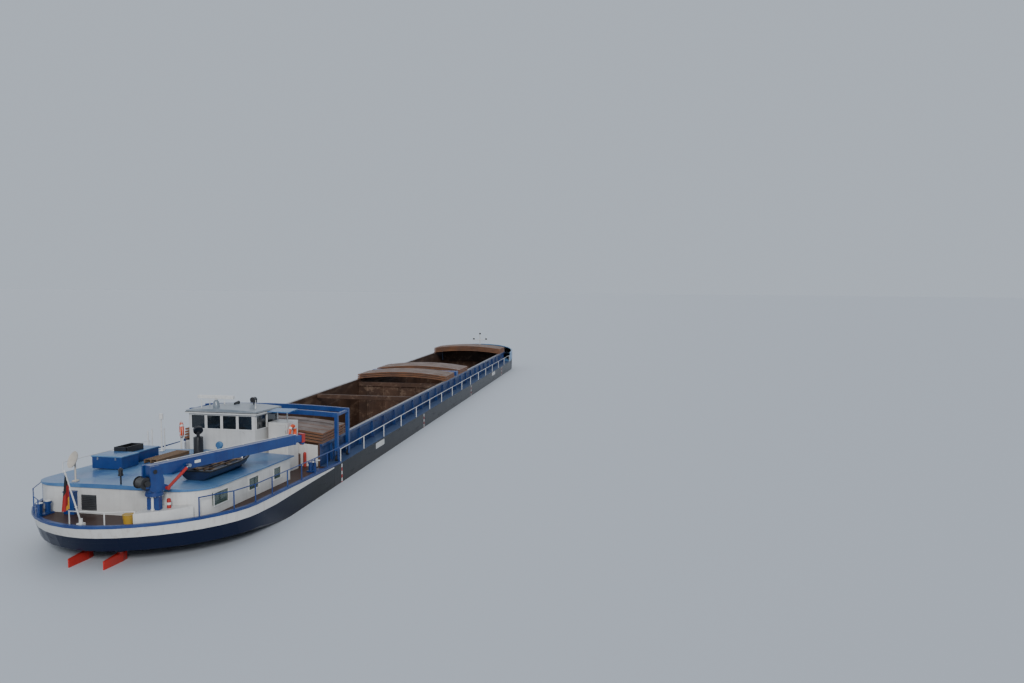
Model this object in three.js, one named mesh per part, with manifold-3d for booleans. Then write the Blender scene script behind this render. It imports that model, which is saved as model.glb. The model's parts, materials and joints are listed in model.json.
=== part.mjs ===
// Inland motor cargo vessel of the 67 metre class, as a 1:2 scale model.
// Every size below is in metres of the full-size vessel. One outer group turns them into model millimetres.
// x runs forward, with the stern at 1 m, y to port, z up from the flat bottom.
import * as THREE from "three";
import { mergeVertices } from "three/addons/utils/BufferGeometryUtils.js";
import Module from "manifold-3d";

const wasm = await Module();
wasm.setup();

// Driving dimensions of the full-size vessel
const MODEL_MILLIMETRES_PER_METRE = 500;
const STERN_TIP = 1.0;
const BOW_TIP = 68.0;
// How far the cap rails stand out over the hull's edge, and the aft edge of the flag over the stern
const CAP_RIM = 0.02;
const FLAG_AFT = 0.48;
const HALF_BEAM = 4.1;
const DEPTH = 2.85;
const GAP = 0.0006;
const WELD = 0.00002;
const SHEET = 0.05;

// Sheer: the deck aft of the hold and forward of it rises in a straight line to the ends
const HOLD_AFT = 13.0;
const HOLD_FORE = 62.6;
const AFT_SHEER = 0.045;
const FORE_SHEER = 0.1;

// Hold and its coaming
const HOLD_HALF_WIDTH = 3.3;
const HOLD_FLOOR = 0.45;
const BILGE = 0.35;
const COAMING_TOP = 3.9;
const COAMING_FACE = 3.42;
const BRACKET_PITCH = 1.97;

// Bulkhead across the hold, on a stool that is part of the floor
const BULKHEAD = { web: [36.5, 36.62], head: [36.4, 36.72], rim: 0.015, foot: HOLD_FLOOR + 0.05, top: 3.7 };

// Deckhouse aft
const HOUSE_AFT = 2.85;
const HOUSE_QUARTER = 4.9;
const HOUSE_FORE = 9.9;
const HOUSE_HALF = 3.35;
const HOUSE_FLAT_HALF = 2.2;
const HOUSE_CORNER = 1.2;
const HOUSE_HEIGHT = 0.95;
const HOUSE_WALL = 0.07;
const ROOF_CROWN = 0.1;
const ROOF_OVERHANG = 0.06;
const CROWN_STEPS = 10;
const ROOF_FORE = 10.2;

// Wheelhouse
const BRIDGE_AFT = 10.3;
const BRIDGE_FORE = 12.6;
const BRIDGE_HALF = 1.55;
const BRIDGE_HEIGHT = 2.78;
const BRIDGE_SILL = 2.02;
const BRIDGE_HEAD = 2.62;

// Deck crane
const CRANE = new THREE.Vector2(2.3, -1.98);
const CRANE_HEADING = -22.4 * THREE.MathUtils.DEG2RAD;
const PLATFORM_TOP = 3.78;
const BOOM_PIVOT = new THREE.Vector2(-0.12, 5.13);
const BOOM_LENGTH = 6.75;
const RAM_FOOT = new THREE.Vector2(0.3, 4.5);
const RAM_EYE = new THREE.Vector2(1.15, 5.12);

// Hatch gantry
const GANTRY_AFT = 14.1;
const GANTRY_LENGTH = 1.6;
const GANTRY_HALF = 3.76;
const GANTRY_TOP = 5.25;
const WHEEL_RADIUS = 0.14;
const AXLE_RADIUS = 0.03;

const vessel = new THREE.Group();
vessel.scale.setScalar(MODEL_MILLIMETRES_PER_METRE);
vessel.position.x = (-(FLAG_AFT + BOW_TIP + CAP_RIM) / 2) * MODEL_MILLIMETRES_PER_METRE;

const model = new THREE.Group();
model.add(vessel);

// Paints and other finishes: colour, roughness, metalness
const FINISH = {
  hull: [0x101318, 0.45, 0.0],
  royalBlue: [0x14408f, 0.4, 0.0],
  navy: [0x10224a, 0.45, 0.0],
  roofBlue: [0x5f8fc4, 0.5, 0.0],
  white: [0xd9d6cf, 0.45, 0.0],
  hatchTan: [0x8a6a52, 0.7, 0.1],
  rust: [0x6b4433, 0.85, 0.2],
  red: [0xb5231a, 0.4, 0.0],
  black: [0x16171a, 0.55, 0.1],
  bronze: [0x9c7a3c, 0.35, 0.9],
  steel: [0x8c9094, 0.5, 0.7],
};

function add(name, geometry, finish) {
  const [color, roughness, metalness] = FINISH[finish];
  const mesh = new THREE.Mesh(geometry, new THREE.MeshStandardMaterial({ color, roughness, metalness }));
  mesh.name = name;
  vessel.add(mesh);
}

// Boolean joins and cuts on closed shapes

function toSolid(geometry) {
  const drawn = geometry.hasAttribute("uv");
  const bare = geometry.clone();
  bare.deleteAttribute("normal");
  bare.deleteAttribute("uv");
  const merged = drawn ? mergeVertices(bare, WELD) : bare;
  return new wasm.Manifold(new wasm.Mesh({
    numProp: 3,
    vertProperties: new Float32Array(merged.attributes.position.array),
    triVerts: new Uint32Array(merged.index.array),
  }));
}

function toGeometry(solid) {
  const mesh = solid.getMesh();
  const geometry = new THREE.BufferGeometry();
  geometry.setAttribute("position", new THREE.BufferAttribute(new Float32Array(mesh.vertProperties), 3));
  geometry.setIndex(new THREE.BufferAttribute(new Uint32Array(mesh.triVerts), 1));
  return geometry;
}

function join(shapes) {
  const solids = shapes.map(toSolid);
  return toGeometry(solids.reduce((whole, piece) => whole.add(piece)));
}

function cut(shape, tools) {
  return toGeometry(tools.map(toSolid).reduce((whole, tool) => whole.subtract(tool), toSolid(shape)));
}

// Basic shapes

function box(x, y, z) {
  const shape = new THREE.BoxGeometry(x[1] - x[0], y[1] - y[0], z[1] - z[0]);
  return shape.translate((x[0] + x[1]) / 2, (y[0] + y[1]) / 2, (z[0] + z[1]) / 2);
}

function extrude(points, depth) {
  const shape = new THREE.Shape(points.map(([u, v]) => new THREE.Vector2(u, v)));
  return new THREE.ExtrudeGeometry(shape, { depth, bevelEnabled: false });
}

// A plate drawn in plan (x, y) and raised from one height to another
function planPrism(points, z) {
  return extrude(points, z[1] - z[0]).translate(0, 0, z[0]);
}

// A section drawn across the vessel (y, z) and run from one x to another
function lengthPrism(points, x) {
  const turn = new THREE.Matrix4().makeBasis(
    new THREE.Vector3(0, 1, 0), new THREE.Vector3(0, 0, 1), new THREE.Vector3(1, 0, 0));
  return extrude(points, x[1] - x[0]).applyMatrix4(turn).translate(x[0], 0, 0);
}

// A profile drawn along the vessel (x, z) and run from one y to another
function crossPrism(points, y) {
  const turn = new THREE.Matrix4().makeBasis(
    new THREE.Vector3(1, 0, 0), new THREE.Vector3(0, 0, 1), new THREE.Vector3(0, -1, 0));
  return extrude(points, y[1] - y[0]).applyMatrix4(turn).translate(0, y[1], 0);
}

function rod(from, to, radius, sides = 8, farRadius = radius) {
  const a = new THREE.Vector3(...from);
  const b = new THREE.Vector3(...to);
  const shape = new THREE.CylinderGeometry(farRadius, radius, a.distanceTo(b), sides);
  const turn = new THREE.Quaternion().setFromUnitVectors(
    new THREE.Vector3(0, 1, 0), b.clone().sub(a).normalize());
  return shape.applyQuaternion(turn).translate((a.x + b.x) / 2, (a.y + b.y) / 2, (a.z + b.z) / 2);
}

// A body of revolution about a vertical axis, from (radius, height) pairs that start and end on the axis
function turned(profile, x, y, sides = 16) {
  const shape = new THREE.LatheGeometry(profile.map(([r, z]) => new THREE.Vector2(r, z)), sides);
  return shape.rotateX(Math.PI / 2).translate(x, y, 0);
}

function deckAft(x) {
  return DEPTH + AFT_SHEER * Math.max(HOLD_AFT - x, 0);
}

function deckFore(x) {
  return DEPTH + FORE_SHEER * Math.max(x - HOLD_FORE, 0);
}

// Lifts a shape that was drawn over a level deck onto the rising deck at either end, clear by the gap
function onSheer(geometry) {
  const at = geometry.attributes.position;
  for (let i = 0; i < at.count; i += 1) {
    const x = at.getX(i);
    const lift = deckAft(x) + deckFore(x) - 2 * DEPTH;
    at.setZ(i, at.getZ(i) + lift + GAP);
  }
  return geometry;
}

// The plan of one end of the hull: straight sides that close in an end of the given fullness, 1 for an ellipse
function endOutline(square, shoulder, tip, half, steps, fullness = 1) {
  const points = [[square, -half]];
  for (let i = 0; i <= steps; i += 1) {
    const angle = (Math.PI * i) / steps - Math.PI / 2;
    const reach = Math.abs(Math.cos(angle)) ** (1 / fullness);
    const spread = Math.sign(Math.sin(angle)) * Math.abs(Math.sin(angle)) ** (1 / fullness);
    points.push([shoulder + (tip - shoulder) * reach, half * spread]);
  }
  points.push([square, half]);
  return points;
}

// A closed body through outlines that lie one above the other, each with the same number of points
function stack(levels) {
  const count = levels[0].length;
  const positions = levels.flat().flatMap((point) => [point.x, point.y, point.z]);
  const index = [];
  for (let row = 0; row + 1 < levels.length; row += 1) {
    for (let i = 0; i < count; i += 1) {
      const a = row * count + i;
      const b = row * count + ((i + 1) % count);
      index.push(a, b, b + count, a, b + count, a + count);
    }
  }
  const outline = (level) => levels[level].map((point) => new THREE.Vector2(point.x, point.y));
  const top = (levels.length - 1) * count;
  for (const [a, b, c] of THREE.ShapeUtils.triangulateShape(outline(0), [])) {
    index.push(c, b, a);
  }
  for (const [a, b, c] of THREE.ShapeUtils.triangulateShape(outline(levels.length - 1), [])) {
    index.push(top + a, top + b, top + c);
  }
  const geometry = new THREE.BufferGeometry();
  geometry.setAttribute("position", new THREE.Float32BufferAttribute(positions, 3));
  geometry.setIndex(index);
  return geometry;
}

// Hull

const END_STEPS = 20;
const STERN_SHOULDER = 5.4;
const STERN_FULLNESS = 0.91;
const BOW_SHOULDER = 63.6;
const BOW_FULLNESS = 1;
const RAIL_SIDES = 4;
const POST_TO_BAR = 1.25;
const SHAFT_HEIGHT = 0.88;
const RUDDER_STOCK_X = 2.3;
const RUDDER_HALF_SPACING = 0.65;
const RUDDER_TOP = 2.2;

// height, aftermost x, x of full beam, half beam, share of the sheer
const AFT_LEVELS = [
  [0.0, 8.8, 12.6, 3.75, 0],
  [BILGE, 7.6, 12.0, HALF_BEAM, 0],
  [1.0, 6.2, 10.5, HALF_BEAM, 0],
  [1.85, 4.5, 8.6, HALF_BEAM, 0],
  [1.93, 2.9, 6.6, HALF_BEAM, 0.72],
  [1.98, 1.45, 5.6, HALF_BEAM, 1],
  [DEPTH, STERN_TIP, STERN_SHOULDER, HALF_BEAM, 1],
];

// height, foremost x, x of full beam, half beam, share of the sheer
const FORE_LEVELS = [
  [0.0, 65.0, 62.8, 3.75, 0],
  [BILGE, 66.0, 63.0, HALF_BEAM, 0],
  [1.0, 66.9, 63.2, HALF_BEAM, 0],
  [1.9, 67.4, 63.45, HALF_BEAM, 0],
  [DEPTH, BOW_TIP, BOW_SHOULDER, HALF_BEAM, 1],
];

// Mooring bollards: two posts on one foot plate. x, y
const FORE_BOLLARDS = [[64.6, -3.1], [64.6, 3.1]];

function bollardPair(x, y, plate, sink = 0) {
  const foot = box([x - 0.35, x + 0.35], plate, [DEPTH - sink, DEPTH + 0.06]);
  const posts = [x - 0.2, x + 0.2].flatMap((at) => [
    rod([at, y, DEPTH + 0.02], [at, y, DEPTH + 0.4], 0.1),
    rod([at, y, DEPTH + 0.38], [at, y, DEPTH + 0.44], 0.13),
  ]);
  return join([foot, ...posts]);
}

function anchor(side) {
  const y = side * 3.05;
  const x = 66.2;
  const shank = rod([x - 0.1, y * 0.9, 2.5], [x + 0.15, y * 1.0, 2.1], 0.07, 8);
  const crown = rod([x, y * 1.0, 2.0], [x, y * 1.06, 1.8], 0.1, 8);
  const flukes = box([x - 0.3, x + 0.3], [y * 1.02 - 0.05, y * 1.02 + 0.05], [1.8, 2.15]);
  return join([shank, crown, flukes]);
}

function endBody(table, square, aft) {
  return stack(table.map(([height, tip, shoulder, half, share]) => {
    const outline = endOutline(square, shoulder, tip, half, END_STEPS, aft ? STERN_FULLNESS : BOW_FULLNESS);
    const points = outline.map(([x, y]) => {
      const lift = share * (aft ? deckAft(x) - DEPTH : deckFore(x) - DEPTH);
      return new THREE.Vector3(x, y, height + lift);
    });
    return aft ? points.reverse() : points;
  }));
}

function hullAft() {
  const skeg = crossPrism([[4.95, 0.08], [9.2, 0.02], [9.2, 1.2], [4.95, 1.7]], [-0.16, 0.16]);
  const sternTube = rod([4.9, 0, SHAFT_HEIGHT], [8.0, 0, SHAFT_HEIGHT], 0.2, 12);
  const bearings = [-1, 1].map((side) => rod(
    [RUDDER_STOCK_X, side * RUDDER_HALF_SPACING, RUDDER_TOP + 0.05],
    [RUDDER_STOCK_X, side * RUDDER_HALF_SPACING, RUDDER_TOP + 0.3], 0.13, 10));
  const body = endBody(AFT_LEVELS, HOLD_AFT, true);
  add("hull_aft", join([body, skeg, sternTube, ...bearings]), "hull");
}

// Foredeck hatch, to port of the folded mast
const HATCH = { x: [63.3, 64.1], y: [1.2, 2.1], height: 0.3, wall: 0.08, rim: 0.04, lid: 0.06, well: 0.4 };

function grow([low, high], by) {
  return [low - by, high + by];
}

function hullFore() {
  const body = endBody(FORE_LEVELS, HOLD_FORE, false);
  const top = DEPTH + HATCH.height;
  const hatch = onSheer(box(HATCH.x, HATCH.y, [DEPTH - 0.1, top]));
  const hatchWay = onSheer(
    box(grow(HATCH.x, -HATCH.wall), grow(HATCH.y, -HATCH.wall), [DEPTH - HATCH.well, top + 0.1]));
  const fittings = onSheer(join(FORE_BOLLARDS.map(([x, y]) => bollardPair(x, y, [y - 0.14, y + 0.14], 0.04))));
  const whole = join([body, hatch, fittings, mastFoot(), anchor(-1), anchor(1)]);
  add("hull_fore", cut(whole, [hatchWay]), "hull");
}

function hullMiddle() {
  for (const [side, name] of [[-1, "starboard"], [1, "port"]]) {
    const section = [
      [side * HOLD_HALF_WIDTH, 0],
      [side * 3.75, 0],
      [side * 4.0, 0.1],
      [side * HALF_BEAM, BILGE],
      [side * HALF_BEAM, DEPTH],
      [side * HOLD_HALF_WIDTH, DEPTH],
    ];
    add(`hull_side_${name}`, lengthPrism(section, [HOLD_AFT, HOLD_FORE]), "hull");
  }
  const across = [-HOLD_HALF_WIDTH, HOLD_HALF_WIDTH];
  const floor = box([HOLD_AFT, HOLD_FORE], across, [0, HOLD_FLOOR]);
  const stool = box(grow(BULKHEAD.head, BULKHEAD.rim), across, [HOLD_FLOOR - 0.01, BULKHEAD.foot]);
  add("hold_floor", join([floor, stool]), "rust");
}

// A rail of constant section that follows the deck edge around one end
function edgeWall(square, shoulder, tip, fullness, outer, thickness, z) {
  const sign = Math.sign(tip - shoulder);
  const outside = endOutline(square, shoulder, tip + sign * (outer - HALF_BEAM), outer, END_STEPS, fullness);
  const innerTip = tip + sign * (outer - HALF_BEAM - thickness);
  const inside = endOutline(square, shoulder, innerTip, outer - thickness, END_STEPS, fullness).reverse();
  return planPrism([...outside, ...inside], z);
}

// Bollards aft, each on a plate that reaches the cap rail: x, y, the plate's starboard and port y
const AFT_BOLLARDS = [[2.4, 2.33, 2.2, 2.46], [11.9, -3.5, -4.0, -3.36], [11.9, 3.5, 3.36, 4.0]];
// Rails that stand on the cap rail: along the house, and the guard around the port quarter
const EDGE_RAIL = [[2.97, 3.21], [4.2, 3.84], [5.4, 4.05], [9.5, 4.05], [13.7, 4.05]];
const QUARTER_GUARD = [[2.97, 3.21], [2.2, 2.55], [1.77, 2.02]];

function sternCapRail() {
  const cap = edgeWall(
    13.8, STERN_SHOULDER, STERN_TIP, STERN_FULLNESS, HALF_BEAM + CAP_RIM, 0.14, [DEPTH, DEPTH + 0.1]);
  const parts = [cap, ...AFT_BOLLARDS.map(([x, y, ...plate]) => bollardPair(x, y, plate))];
  for (const side of [-1, 1]) {
    parts.push(railing(EDGE_RAIL.map(([x, y]) => [x, side * y]), 0.78, 0.022, 1.4));
  }
  parts.push(railing(QUARTER_GUARD, 0.7, 0.022, 0.9, [0.5, 1]));
  add("cap_rail_stern", onSheer(join(parts)), "royalBlue");
}

function bowBulwark() {
  const aft = HOLD_FORE + 0.3;
  const wall = edgeWall(
    aft, BOW_SHOULDER, BOW_TIP, BOW_FULLNESS, HALF_BEAM, 0.09, [DEPTH, DEPTH + 0.8]);
  const cap = edgeWall(
    aft - 0.03, BOW_SHOULDER, BOW_TIP, BOW_FULLNESS, HALF_BEAM + CAP_RIM, 0.14, [DEPTH + 0.77, DEPTH + 0.85]);
  add("bow_bulwark", onSheer(join([wall, cap])), "royalBlue");
}

function coamings() {
  const x = [HOLD_AFT, HOLD_FORE];
  for (const [side, name] of [[-1, "starboard"], [1, "port"]]) {
    const across = (a, b) => (side < 0 ? [-b, -a] : [a, b]);
    const parts = [
      box(x, across(HOLD_HALF_WIDTH + 0.04, COAMING_FACE), [DEPTH, COAMING_TOP]),
      box(x, across(HOLD_HALF_WIDTH + 0.02, COAMING_FACE + 0.1), [COAMING_TOP - 0.12, COAMING_TOP]),
    ];
    for (let at = HOLD_AFT + 1.2; at < HOLD_FORE; at += BRACKET_PITCH) {
      const bracket = [
        [side * (COAMING_FACE - 0.02), DEPTH],
        [side * (COAMING_FACE + 0.16), DEPTH],
        [side * (COAMING_FACE + 0.08), COAMING_TOP - 0.06],
        [side * (COAMING_FACE - 0.02), COAMING_TOP - 0.06],
      ];
      parts.push(lengthPrism(bracket, [at, at + 0.04]));
    }
    add(`coaming_${name}`, join(parts), "royalBlue");
  }
}

// An arc across the hold, from port to starboard, that rises by the crown at the centre line
function crownLine(half, z, crown, steps = CROWN_STEPS) {
  return Array.from({ length: steps + 1 }, (_, i) => {
    const y = half - (2 * half * i) / steps;
    return [y, z + crown * (1 - (y / half) ** 2)];
  });
}

function coamingEnds() {
  const top = crownLine(HOLD_HALF_WIDTH + 0.019, COAMING_TOP - 0.05, 0.16);
  const half = HOLD_HALF_WIDTH + 0.019;
  const outline = [...top, [-half, DEPTH], [half, DEPTH]];
  add("coaming_aft", onSheer(lengthPrism(outline, [HOLD_AFT - 0.12, HOLD_AFT - 0.02])), "white");
  add("coaming_fore", onSheer(lengthPrism(outline, [HOLD_FORE + 0.02, HOLD_FORE + 0.12])), "royalBlue");
}

function holdCrossMembers() {
  const half = HOLD_HALF_WIDTH + 0.019;
  add("hold_tie_beam", box([28.5, 28.8], [-half, half], [3.6, 3.86]), "rust");
  const across = [-HOLD_HALF_WIDTH + GAP, HOLD_HALF_WIDTH - GAP];
  const foot = BULKHEAD.foot + GAP;
  const web = box(BULKHEAD.web, across, [foot, BULKHEAD.top - 0.2]);
  const head = box(BULKHEAD.head, across, [BULKHEAD.top - 0.3, BULKHEAD.top]);
  const ribs = [-2.6, -1.3, 0, 1.3, 2.6].map((y) => {
    return box([BULKHEAD.head[0], BULKHEAD.web[0] + 0.05], [y - 0.05, y + 0.05], [foot, BULKHEAD.top - 0.25]);
  });
  add("hold_bulkhead", join([web, head, ...ribs]), "hatchTan");
  add("hatch_cross_beam", box([40.2, 40.8], [-3.5, 3.5], [COAMING_TOP, COAMING_TOP + 0.34]), "royalBlue");
}

// name, aft x, length, number of covers in the stack
const HATCH_STACKS = [
  ["hatch_stack_aft", 13.05, 3.0, 4],
  ["hatch_stack_middle_aft", 36.75, 2.8, 3],
  ["hatch_stack_middle_fore", 41.3, 3.0, 3],
  ["hatch_stack_fore", 59.6, 2.9, 4],
];
const COVER_HALF = 3.5;
const COVER_THICK = 0.09;
const COVER_PITCH = 0.13;
const COVER_CROWN = 0.26;

function hatchStacks() {
  for (const [name, aft, length, count] of HATCH_STACKS) {
    const parts = [];
    for (let i = 0; i < count; i += 1) {
      const z = COAMING_TOP + i * COVER_PITCH;
      const outside = crownLine(COVER_HALF, z + COVER_THICK, COVER_CROWN);
      const inside = crownLine(COVER_HALF, z, COVER_CROWN).reverse();
      parts.push(lengthPrism([...outside, ...inside], [aft + 0.03 * i, aft + length - 0.03 * i]));
    }
    for (const side of [-1, 1]) {
      const foot = side < 0 ? [-COVER_HALF + 0.02, -COVER_HALF + 0.2] : [COVER_HALF - 0.2, COVER_HALF - 0.02];
      const top = COAMING_TOP + (count - 1) * COVER_PITCH + 0.06;
      parts.push(box([aft + 0.15, aft + length - 0.15], foot, [COAMING_TOP, top]));
    }
    add(name, join(parts), "hatchTan");
  }
}

// Propeller and rudders

function propeller() {
  const radius = 0.72;
  const hub = rod([4.1, 0, SHAFT_HEIGHT], [4.9 - GAP, 0, SHAFT_HEIGHT], 0.15, 12);
  const cone = rod([3.9, 0, SHAFT_HEIGHT], [4.11, 0, SHAFT_HEIGHT], 0.06, 12, 0.15);
  const blades = Array.from({ length: 4 }, (_, i) => {
    const outline = [[-0.09, 0.1], [0.09, 0.1], [0.3, 0.42], [0.27, 0.64], [0.1, radius], [-0.12, 0.7], [-0.26, 0.5]];
    const blade = extrude(outline, 0.05).translate(0, 0, -0.025);
    blade.rotateX(Math.PI / 2);
    blade.rotateZ(THREE.MathUtils.degToRad(90 - 35));
    blade.rotateX((Math.PI / 2) * i + Math.PI / 4);
    return blade.translate(4.45, 0, SHAFT_HEIGHT);
  });
  add("propeller", join([hub, cone, ...blades]), "bronze");
}

function rudders() {
  for (const [side, name] of [[-1, "starboard"], [1, "port"]]) {
    const y = side * RUDDER_HALF_SPACING;
    const half = [[0.35, 0.0], [0.25, 0.07], [-0.05, 0.09], [-0.9, 0.02]];
    const section = [...half, ...half.slice(1).reverse().map(([x, v]) => [x, -v])];
    const outline = section.reverse().map(([x, v]) => [RUDDER_STOCK_X + x, y + v]);
    const blade = planPrism(outline, [0.3, RUDDER_TOP]);
    const stock = rod([RUDDER_STOCK_X, y, RUDDER_TOP - 0.2], [RUDDER_STOCK_X, y, RUDDER_TOP + 0.05 - GAP], 0.1, 10);
    add(`rudder_${name}`, join([blade, stock]), "red");
  }
}

// Deckhouse

function houseOutline(inset) {
  const half = HOUSE_HALF - inset;
  const aft = HOUSE_AFT + inset;
  const points = [];
  const steps = 6;
  for (let i = 0; i <= steps; i += 1) {
    const angle = (Math.PI / 2) * (i / steps);
    const x = HOUSE_AFT + HOUSE_CORNER - (HOUSE_CORNER - inset) * Math.sin(angle);
    const y = HOUSE_FLAT_HALF + (half - HOUSE_FLAT_HALF) * Math.cos(angle);
    points.push([x, y]);
  }
  points.unshift([HOUSE_QUARTER, half]);
  return [...points, ...points.map(([x, y]) => [x, -y]).reverse()].map(([x, y]) => [Math.max(x, aft), y]);
}

// side windows of the deckhouse: aft x, fore x
const HOUSE_WINDOWS = [[3.7, 4.7], [6.25, 7.05], [8.35, 9.0]];
const HOUSE_SILL = DEPTH + 0.3;
const HOUSE_LINTEL = DEPTH + 0.77;

function deckhouse() {
  const z = [DEPTH, DEPTH + HOUSE_HEIGHT];
  const aftRing = planPrism([...houseOutline(0), ...houseOutline(HOUSE_WALL).reverse()], z);
  const sternWindow = box([HOUSE_AFT - 0.2, HOUSE_AFT + 0.2], [0.62, 1.22], [DEPTH + 0.12, DEPTH + 0.68]);
  const [first, ...others] = HOUSE_WINDOWS;
  const cornerWindows = [-1, 1].map((side) => {
    const y = side < 0 ? [-4, -2.9] : [2.9, 4];
    return box(first, y, [HOUSE_SILL, HOUSE_LINTEL]);
  });
  add("house_wall_aft", onSheer(cut(aftRing, [sternWindow, ...cornerWindows])), "white");
  for (const [side, name] of [[-1, "starboard"], [1, "port"]]) {
    const y = side < 0 ? [-HOUSE_HALF, -HOUSE_HALF + HOUSE_WALL] : [HOUSE_HALF - HOUSE_WALL, HOUSE_HALF];
    const windows = others.map((x) => box(x, [y[0] - 0.1, y[1] + 0.1], [HOUSE_SILL, HOUSE_LINTEL]));
    add(`house_wall_${name}`, onSheer(cut(box([HOUSE_QUARTER, HOUSE_FORE], y, z), windows)), "white");
  }
  const inner = HOUSE_HALF - HOUSE_WALL;
  const front = box([HOUSE_FORE - HOUSE_WALL, HOUSE_FORE], [-inner, inner], z);
  add("house_wall_front", onSheer(front), "white");
}

function houseRoof() {
  const half = HOUSE_HALF + ROOF_OVERHANG;
  const z = DEPTH + HOUSE_HEIGHT + GAP;
  const slab = lengthPrism([
    ...crownLine(half, z + SHEET, ROOF_CROWN), [-half, z], [half, z],
  ], [HOUSE_AFT - ROOF_OVERHANG, ROOF_FORE]);
  const outline = houseOutline(-ROOF_OVERHANG);
  const plan = planPrism([...outline, [ROOF_FORE, -half], [ROOF_FORE, half]], [z - 0.1, z + 0.5]);
  const trimmed = toGeometry(toSolid(slab).intersect(toSolid(plan)));
  add("house_roof", join([onSheer(trimmed), cowlVent()]), "roofBlue");
}

// Height of the crowned roof's flat facets at a point, and a square plate seated on its highest corner
function roofTop(x, y) {
  const half = HOUSE_HALF + ROOF_OVERHANG;
  const facet = (2 * half) / CROWN_STEPS;
  const inner = half - Math.ceil((half - Math.abs(y)) / facet) * facet;
  const crownAt = (at) => ROOF_CROWN * (1 - (at / half) ** 2);
  const share = (Math.abs(y) - inner) / facet;
  const crown = crownAt(inner) + (crownAt(inner + facet) - crownAt(inner)) * share;
  return deckAft(x) + HOUSE_HEIGHT + SHEET + 2 * GAP + crown;
}

function roofPlate(x, y, half) {
  const foot = roofTop(x - half, y - half) + GAP;
  return { foot, plate: box([x - half, x + half], [y - half, y + half], [foot, foot + 0.04]) };
}

function cranePlatform() {
  const outline = [
    [1.66, -1.6], [HOUSE_AFT - GAP, -1.5], [HOUSE_AFT - GAP, -HOUSE_FLAT_HALF],
    [2.885, -2.5], [3.0, -2.79], [2.92, -3.03], [2.3, -2.5],
  ];
  const top = outline.map(([x, y]) => new THREE.Vector3(x, y, PLATFORM_TOP)).reverse();
  const foot = outline.map(([x, y]) => new THREE.Vector3(x, y, deckAft(x) + GAP)).reverse();
  const block = stack([foot, top]);
  const rail = onSheer(railing([[1.7, -1.63], [1.38, -0.75], [1.33, 0.5]], 0.5, 0.022, 1.0));
  add("crane_platform", join([block, rail]), "white");
}

// Wheelhouse

function windowRow(lo, hi, count, bar) {
  const width = (hi - lo - bar * (count - 1)) / count;
  return Array.from({ length: count }, (_, i) => {
    const start = lo + i * (width + bar);
    return [start, start + width];
  });
}

const BRIDGE_WALL = 0.08;
const DOOR = { aft: 11.65, fore: 12.35, sill: 0.3, head: 2.45, leaf: 0.05 };

function wheelhouse() {
  const z = [DEPTH, DEPTH + BRIDGE_HEIGHT];
  const light = [DEPTH + BRIDGE_SILL, DEPTH + BRIDGE_HEAD];
  const row = windowRow(-BRIDGE_HALF + 0.12, BRIDGE_HALF - 0.12, 4, 0.1);
  for (const [name, x] of [["aft", BRIDGE_AFT], ["front", BRIDGE_FORE - BRIDGE_WALL]]) {
    const wall = box([x, x + BRIDGE_WALL], [-BRIDGE_HALF, BRIDGE_HALF], z);
    const windows = row.map((y) => box([x - 0.1, x + 0.2], y, light));
    add(`wheelhouse_wall_${name}`, onSheer(cut(wall, windows)), "white");
  }
  const along = [BRIDGE_AFT + BRIDGE_WALL, BRIDGE_FORE - BRIDGE_WALL];
  const sides = [
    ["starboard", -BRIDGE_HALF, windowRow(along[0] + 0.08, along[1] - 0.08, 2, 0.1)],
    ["port", BRIDGE_HALF - BRIDGE_WALL, windowRow(along[0] + 0.08, DOOR.aft - 0.12, 1, 0)],
  ];
  for (const [name, y, windows] of sides) {
    const wall = box(along, [y, y + BRIDGE_WALL], z);
    const openings = windows.map((x) => box(x, [y - 0.1, y + 0.2], light));
    if (name === "port") {
      openings.push(box([DOOR.aft, DOOR.fore], [y - 0.1, y + 0.2], [DEPTH + DOOR.sill, DEPTH + DOOR.head]));
    }
    const hinges = name === "port" ? wheelhouseDoorFrameHinges() : [];
    add(`wheelhouse_wall_${name}`, join([onSheer(cut(wall, openings)), ...hinges]), "white");
  }
  const roofHalf = BRIDGE_HALF + 0.1;
  const roof = lengthPrism([
    ...crownLine(roofHalf, z[1] + SHEET, 0.08), [-roofHalf, z[1] + GAP], [roofHalf, z[1] + GAP],
  ], [BRIDGE_AFT - 0.1, BRIDGE_FORE + 0.12]);
  add("wheelhouse_roof", join([onSheer(roof), radarPedestal()]), "roofBlue");
}

function bridgeRoofTop(x) {
  return deckAft(x) + BRIDGE_HEIGHT + SHEET + 0.07;
}

// Hinges of a door: knuckles on one upright axis, the leaf's above the frame's
const HINGE_RADIUS = 0.022;
const HINGE_HEIGHTS = [0.55, 1.9];

function hingeKnuckles(x, y, forLeaf, web) {
  const deck = deckAft(x) + GAP;
  return HINGE_HEIGHTS.flatMap((height) => {
    const z = forLeaf ? [deck + height, deck + height + 0.1] : [deck + height - 0.1, deck + height - GAP];
    return [rod([x, y, z[0]], [x, y, z[1]], HINGE_RADIUS), box(web[0], web[1], z)];
  });
}

const DOOR_PLAY = 0.02;
const DOOR_PIN = { x: DOOR.fore + 0.07, y: BRIDGE_HALF + DOOR_PLAY + DOOR.leaf / 2 };

function wheelhouseDoorFrameHinges() {
  return hingeKnuckles(DOOR_PIN.x, DOOR_PIN.y, false, [
    [DOOR_PIN.x - 0.012, DOOR_PIN.x + 0.012], [BRIDGE_HALF - 0.02, DOOR_PIN.y]]);
}

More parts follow.
